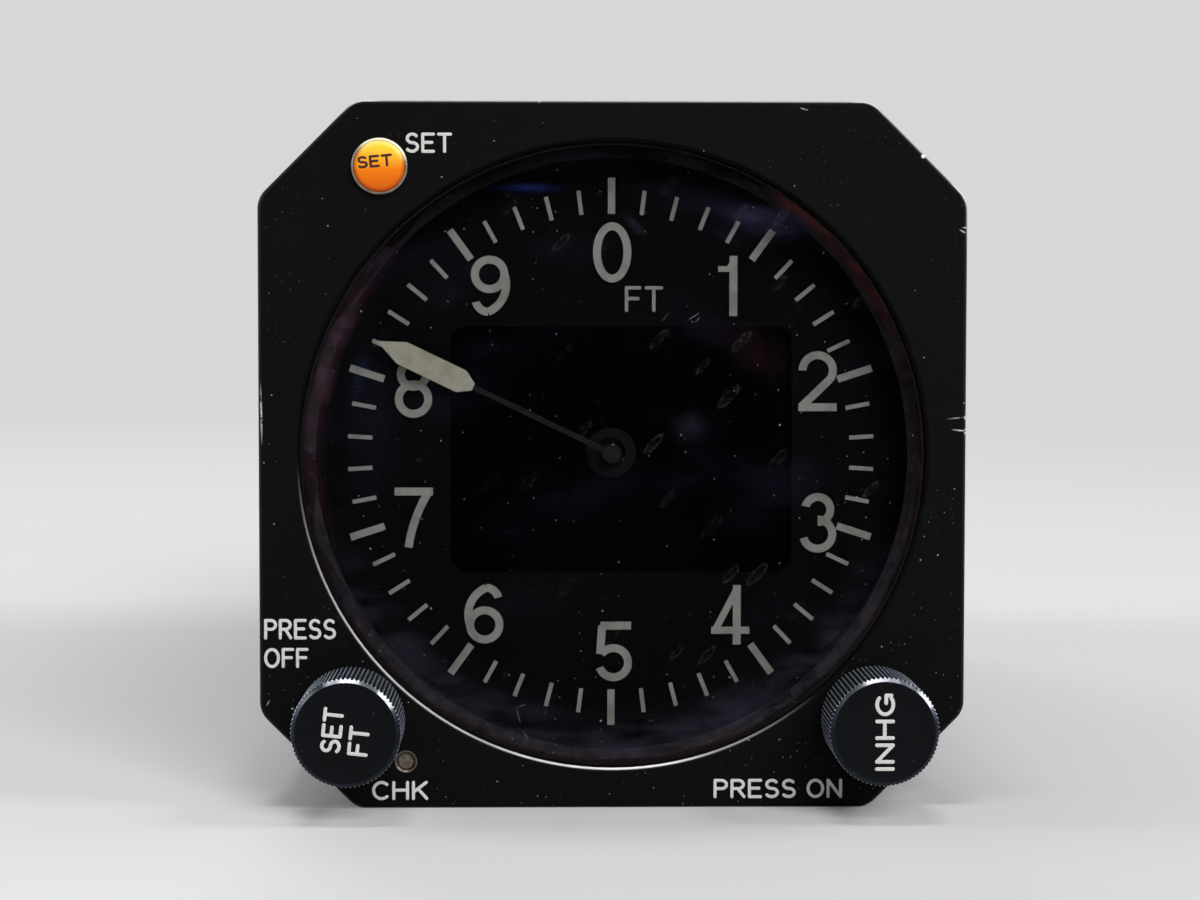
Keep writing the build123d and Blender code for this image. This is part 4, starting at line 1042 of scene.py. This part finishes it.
def wordGrids(word, left, base, width, height, stroke, spacing=0.26, gap=0.14, rise=0.03):
    # the letters' boxes are spread so that the ink fills the width from left
    advances = [gap if c == " " else letterStrokes[c][0] for c in word]
    natural = sum(advances) + spacing * (len(word) - 1)
    inkHeight, inkWidth = height - stroke, width - stroke
    squeeze = inkWidth / natural
    grids, pen = [], left + stroke / 2
    for c, advance in zip(word, advances):
        if c != " ":
            for path in letterStrokes[c][1]:
                lettered = path * (squeeze, inkHeight) + (pen, base + stroke / 2)
                grids.append(strokeGrid(lettered, stroke, rise))
        pen += (advance + spacing) * squeeze
    return grids


def onFront(grid, depth, centre=(0, 0), turn=0.0):
    # from the lettering's plane to the object: turned about the centre, then set at that depth
    c, s = cos(radians(turn)), sin(radians(turn))
    u, w, h = np.moveaxis(grid, -1, 0)
    return np.stack([centre[0] + u * c - w * s, depth - h, centre[1] + u * s + w * c], axis=-1)


legendSet = {
    # word, left and base of its ink, width, height and stroke
    "lampLabel": [("SET", -24.22, 35.31, 5.45, 2.35, 0.36)],
    "leftLabel": [
        ("PRESS", -40.84, -21.46, 8.4, 2.42, 0.36), ("OFF", -40.86, -24.82, 5.2, 2.37, 0.36),
    ],
    "buttonLabel": [("CHK", -28.29, -40.44, 6.6, 2.27, 0.36)],
    "rightLabel": [("PRESS ON", 11.87, -40.34, 15.18, 2.3, 0.36)],
}
dialWord = ("FT", 1.6, 16.88, 4.6, 3.1, 0.42)
# on the lens and the knobs the words stand about its middle, turned by degrees
lampWord = {"line": ("SET", -2.05, -0.725, 4.1, 1.45, 0.3), "turn": 5.0, "shift": (-0.5, 0.55)}
knobWords = {
    "left": (84.0, [("SET", -2.4, 0.35, 5.2, 2.35, 0.4), ("FT", -2.4, -2.75, 3.4, 2.35, 0.4)]),
    "right": (90.0, [("INHG", -4.4, -1.1, 8.8, 2.25, 0.42)]),
}


def addLegend(name, grids, material, body):
    legend = makePiece(name, grids, 60.0)
    wear(legend, material)
    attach(legend, body)


def makeLegends():
    white = inkPaint("legendWhite", (208, 208, 204), (178, 178, 174))
    dark = inkPaint("legendDark", (58, 12, 4), (92, 26, 6))
    front = boxInMm("bezel")[0][1]
    for name, lines in legendSet.items():
        grids = [onFront(g, front) for entry in lines for g in wordGrids(*entry)]
        addLegend(name, grids, white, "unit")
    face = boxInMm("dial")[0][1]
    grids = [onFront(g, face - 0.05) for g in wordGrids(*dialWord)]
    addLegend("dialWord", grids, dialInk, "unit")
    middle = np.array(lampSize()[1]) + lampWord["shift"]
    face = boxInMm("lamp_lens")[0][1]
    grids = [onFront(g, face, middle, lampWord["turn"]) for g in wordGrids(*lampWord["line"])]
    addLegend("lampWord", grids, dark, "unit")
    for side, (turn, lines) in knobWords.items():
        low, high = boxInMm(f"{side}_knob")
        middle = (low + high)[[0, 2]] / 2
        face = low[1] + knobFinish["faceDish"]
        grids = [onFront(g, face, middle, turn) for entry in lines for g in wordGrids(*entry)]
        addLegend(f"{side}KnobWord", grids, white, f"{side}_knob_set")


makeLegends()
print("legends made")


# Screws with a cross recess: the face's height is a dome over the radius, which drops where the
# point lies in one of the cross's arms

screwSizes = {
    "flatRadius": 2.3, "flatDepth": 1.2, "flatLength": 4.8, "shankRadius": 1.2,
    "panRadius": 2.0, "panHeight": 1.4, "panLength": 5.5, "panDome": 0.3,
    "armHalf": 0.32, "armReach": 1.35, "recessDepth": 0.8,
}
caseRows = ((5.0, 14.0), (173.5, 20.0))  # each row's place along Y, and its screws' from the middle
caseFaces = (
    # the way out of each face of the case, and the way along it
    ((0, 0, 1), (1, 0, 0)), ((1, 0, 0), (0, 0, -1)),
    ((0, 0, -1), (-1, 0, 0)), ((-1, 0, 0), (0, 0, 1)),
)
panSeats = {
    # the face under the heads, the way the heads point along Y, and the screws' x and z
    "connector": (183.5, 1, [(-12.3, 1.7), (12.3, 1.7), (-12.3, 26.3), (12.3, 26.3)]),
    "drivePlate": (22.5, 1, [(-35.3, -22.5), (35.3, -22.5), (-35.3, 22.5), (35.3, 22.5)]),
    "motor": (20.0, -1, [(16.0, -5.2), (16.0, 5.2)]),
}


def crossDrop(u, w):
    # deepest where the lesser of u and w is within an arm's half width, and shallower outwards
    v = screwSizes
    reach = np.hypot(u, w)
    arm = np.minimum(np.abs(u), np.abs(w))
    inside = np.clip((v["armHalf"] - arm) / 0.08, 0, 1)
    inside *= np.clip((v["armReach"] - reach) / 0.25, 0, 1)
    return v["recessDepth"] * inside * (0.55 + 0.45 * np.clip(1 - reach / v["armReach"], 0, 1))


def screwGrid(outline, dome):
    # rings from the middle of the face out to its rim, then the outline's (radius, height) points
    rim = outline[0][0]
    arms = np.linspace(0.12, screwSizes["armReach"], 11)
    radii = np.array([0.0, *arms, rim * 0.85, rim * 0.97])
    head = rings(radii, -dome * (radii / rim) ** 4, roundAngles(96))
    head[..., 2] -= crossDrop(head[..., 0], head[..., 1])
    return np.concatenate([head, rings(*np.array(outline).T, roundAngles(96))])


def placed(grid, origin, across, up, out, turn):
    # turned about its own axis, then set at the origin with that axis pointing out
    c, s = cos(turn), sin(turn)
    spin = np.array([[c, s, 0], [-s, c, 0], [0, 0, 1]])
    return grid @ spin @ np.array([across, up, out], float) + origin


def addScrews(name, grids, node):
    screws = makePiece(name, grids, 30.0)
    wear(screws, plated)
    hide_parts(node)
    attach(screws, "unit")


def makeScrews():
    v = screwSizes
    low, high = boxInMm("case")
    half = (high[0] - low[0]) / 2
    flat = screwGrid([
        (v["flatRadius"], -0.08), (v["shankRadius"], -v["flatDepth"]),
        (v["shankRadius"], -v["flatLength"]), (0.0, -v["flatLength"]),
    ], 0.0)
    turns = np.random.default_rng(7)
    grids = []
    for out, along in np.array(caseFaces):
        for depth, offset in caseRows:
            for side in (-1, 1):
                origin = out * half + along * side * offset + (0, depth, 0)
                up = np.cross(out, along)
                grids.append(placed(flat, origin, along, up, out, turns.uniform(0, pi)))
    addScrews("crossScrews", grids, "case_screws")
    tip = -v["panHeight"] - v["panLength"]
    pan = screwGrid([
        (v["panRadius"] * 0.995, -0.45), (v["panRadius"], -0.8), (v["panRadius"], -v["panHeight"]),
        (v["shankRadius"], -v["panHeight"]), (v["shankRadius"], tip), (0.0, tip),
    ], v["panDome"])
    grids = []
    for face, way, points in panSeats.values():
        for x, z in points:
            origin = (x, face + way * v["panHeight"], z)
            axes = (way, 0, 0), (0, 0, -1), (0, way, 0)
            grids.append(placed(pan, origin, *axes, turns.uniform(0, pi)))
    addScrews("panCrossScrews", grids, "pan_screws")


makeScrews()
print("screws made")
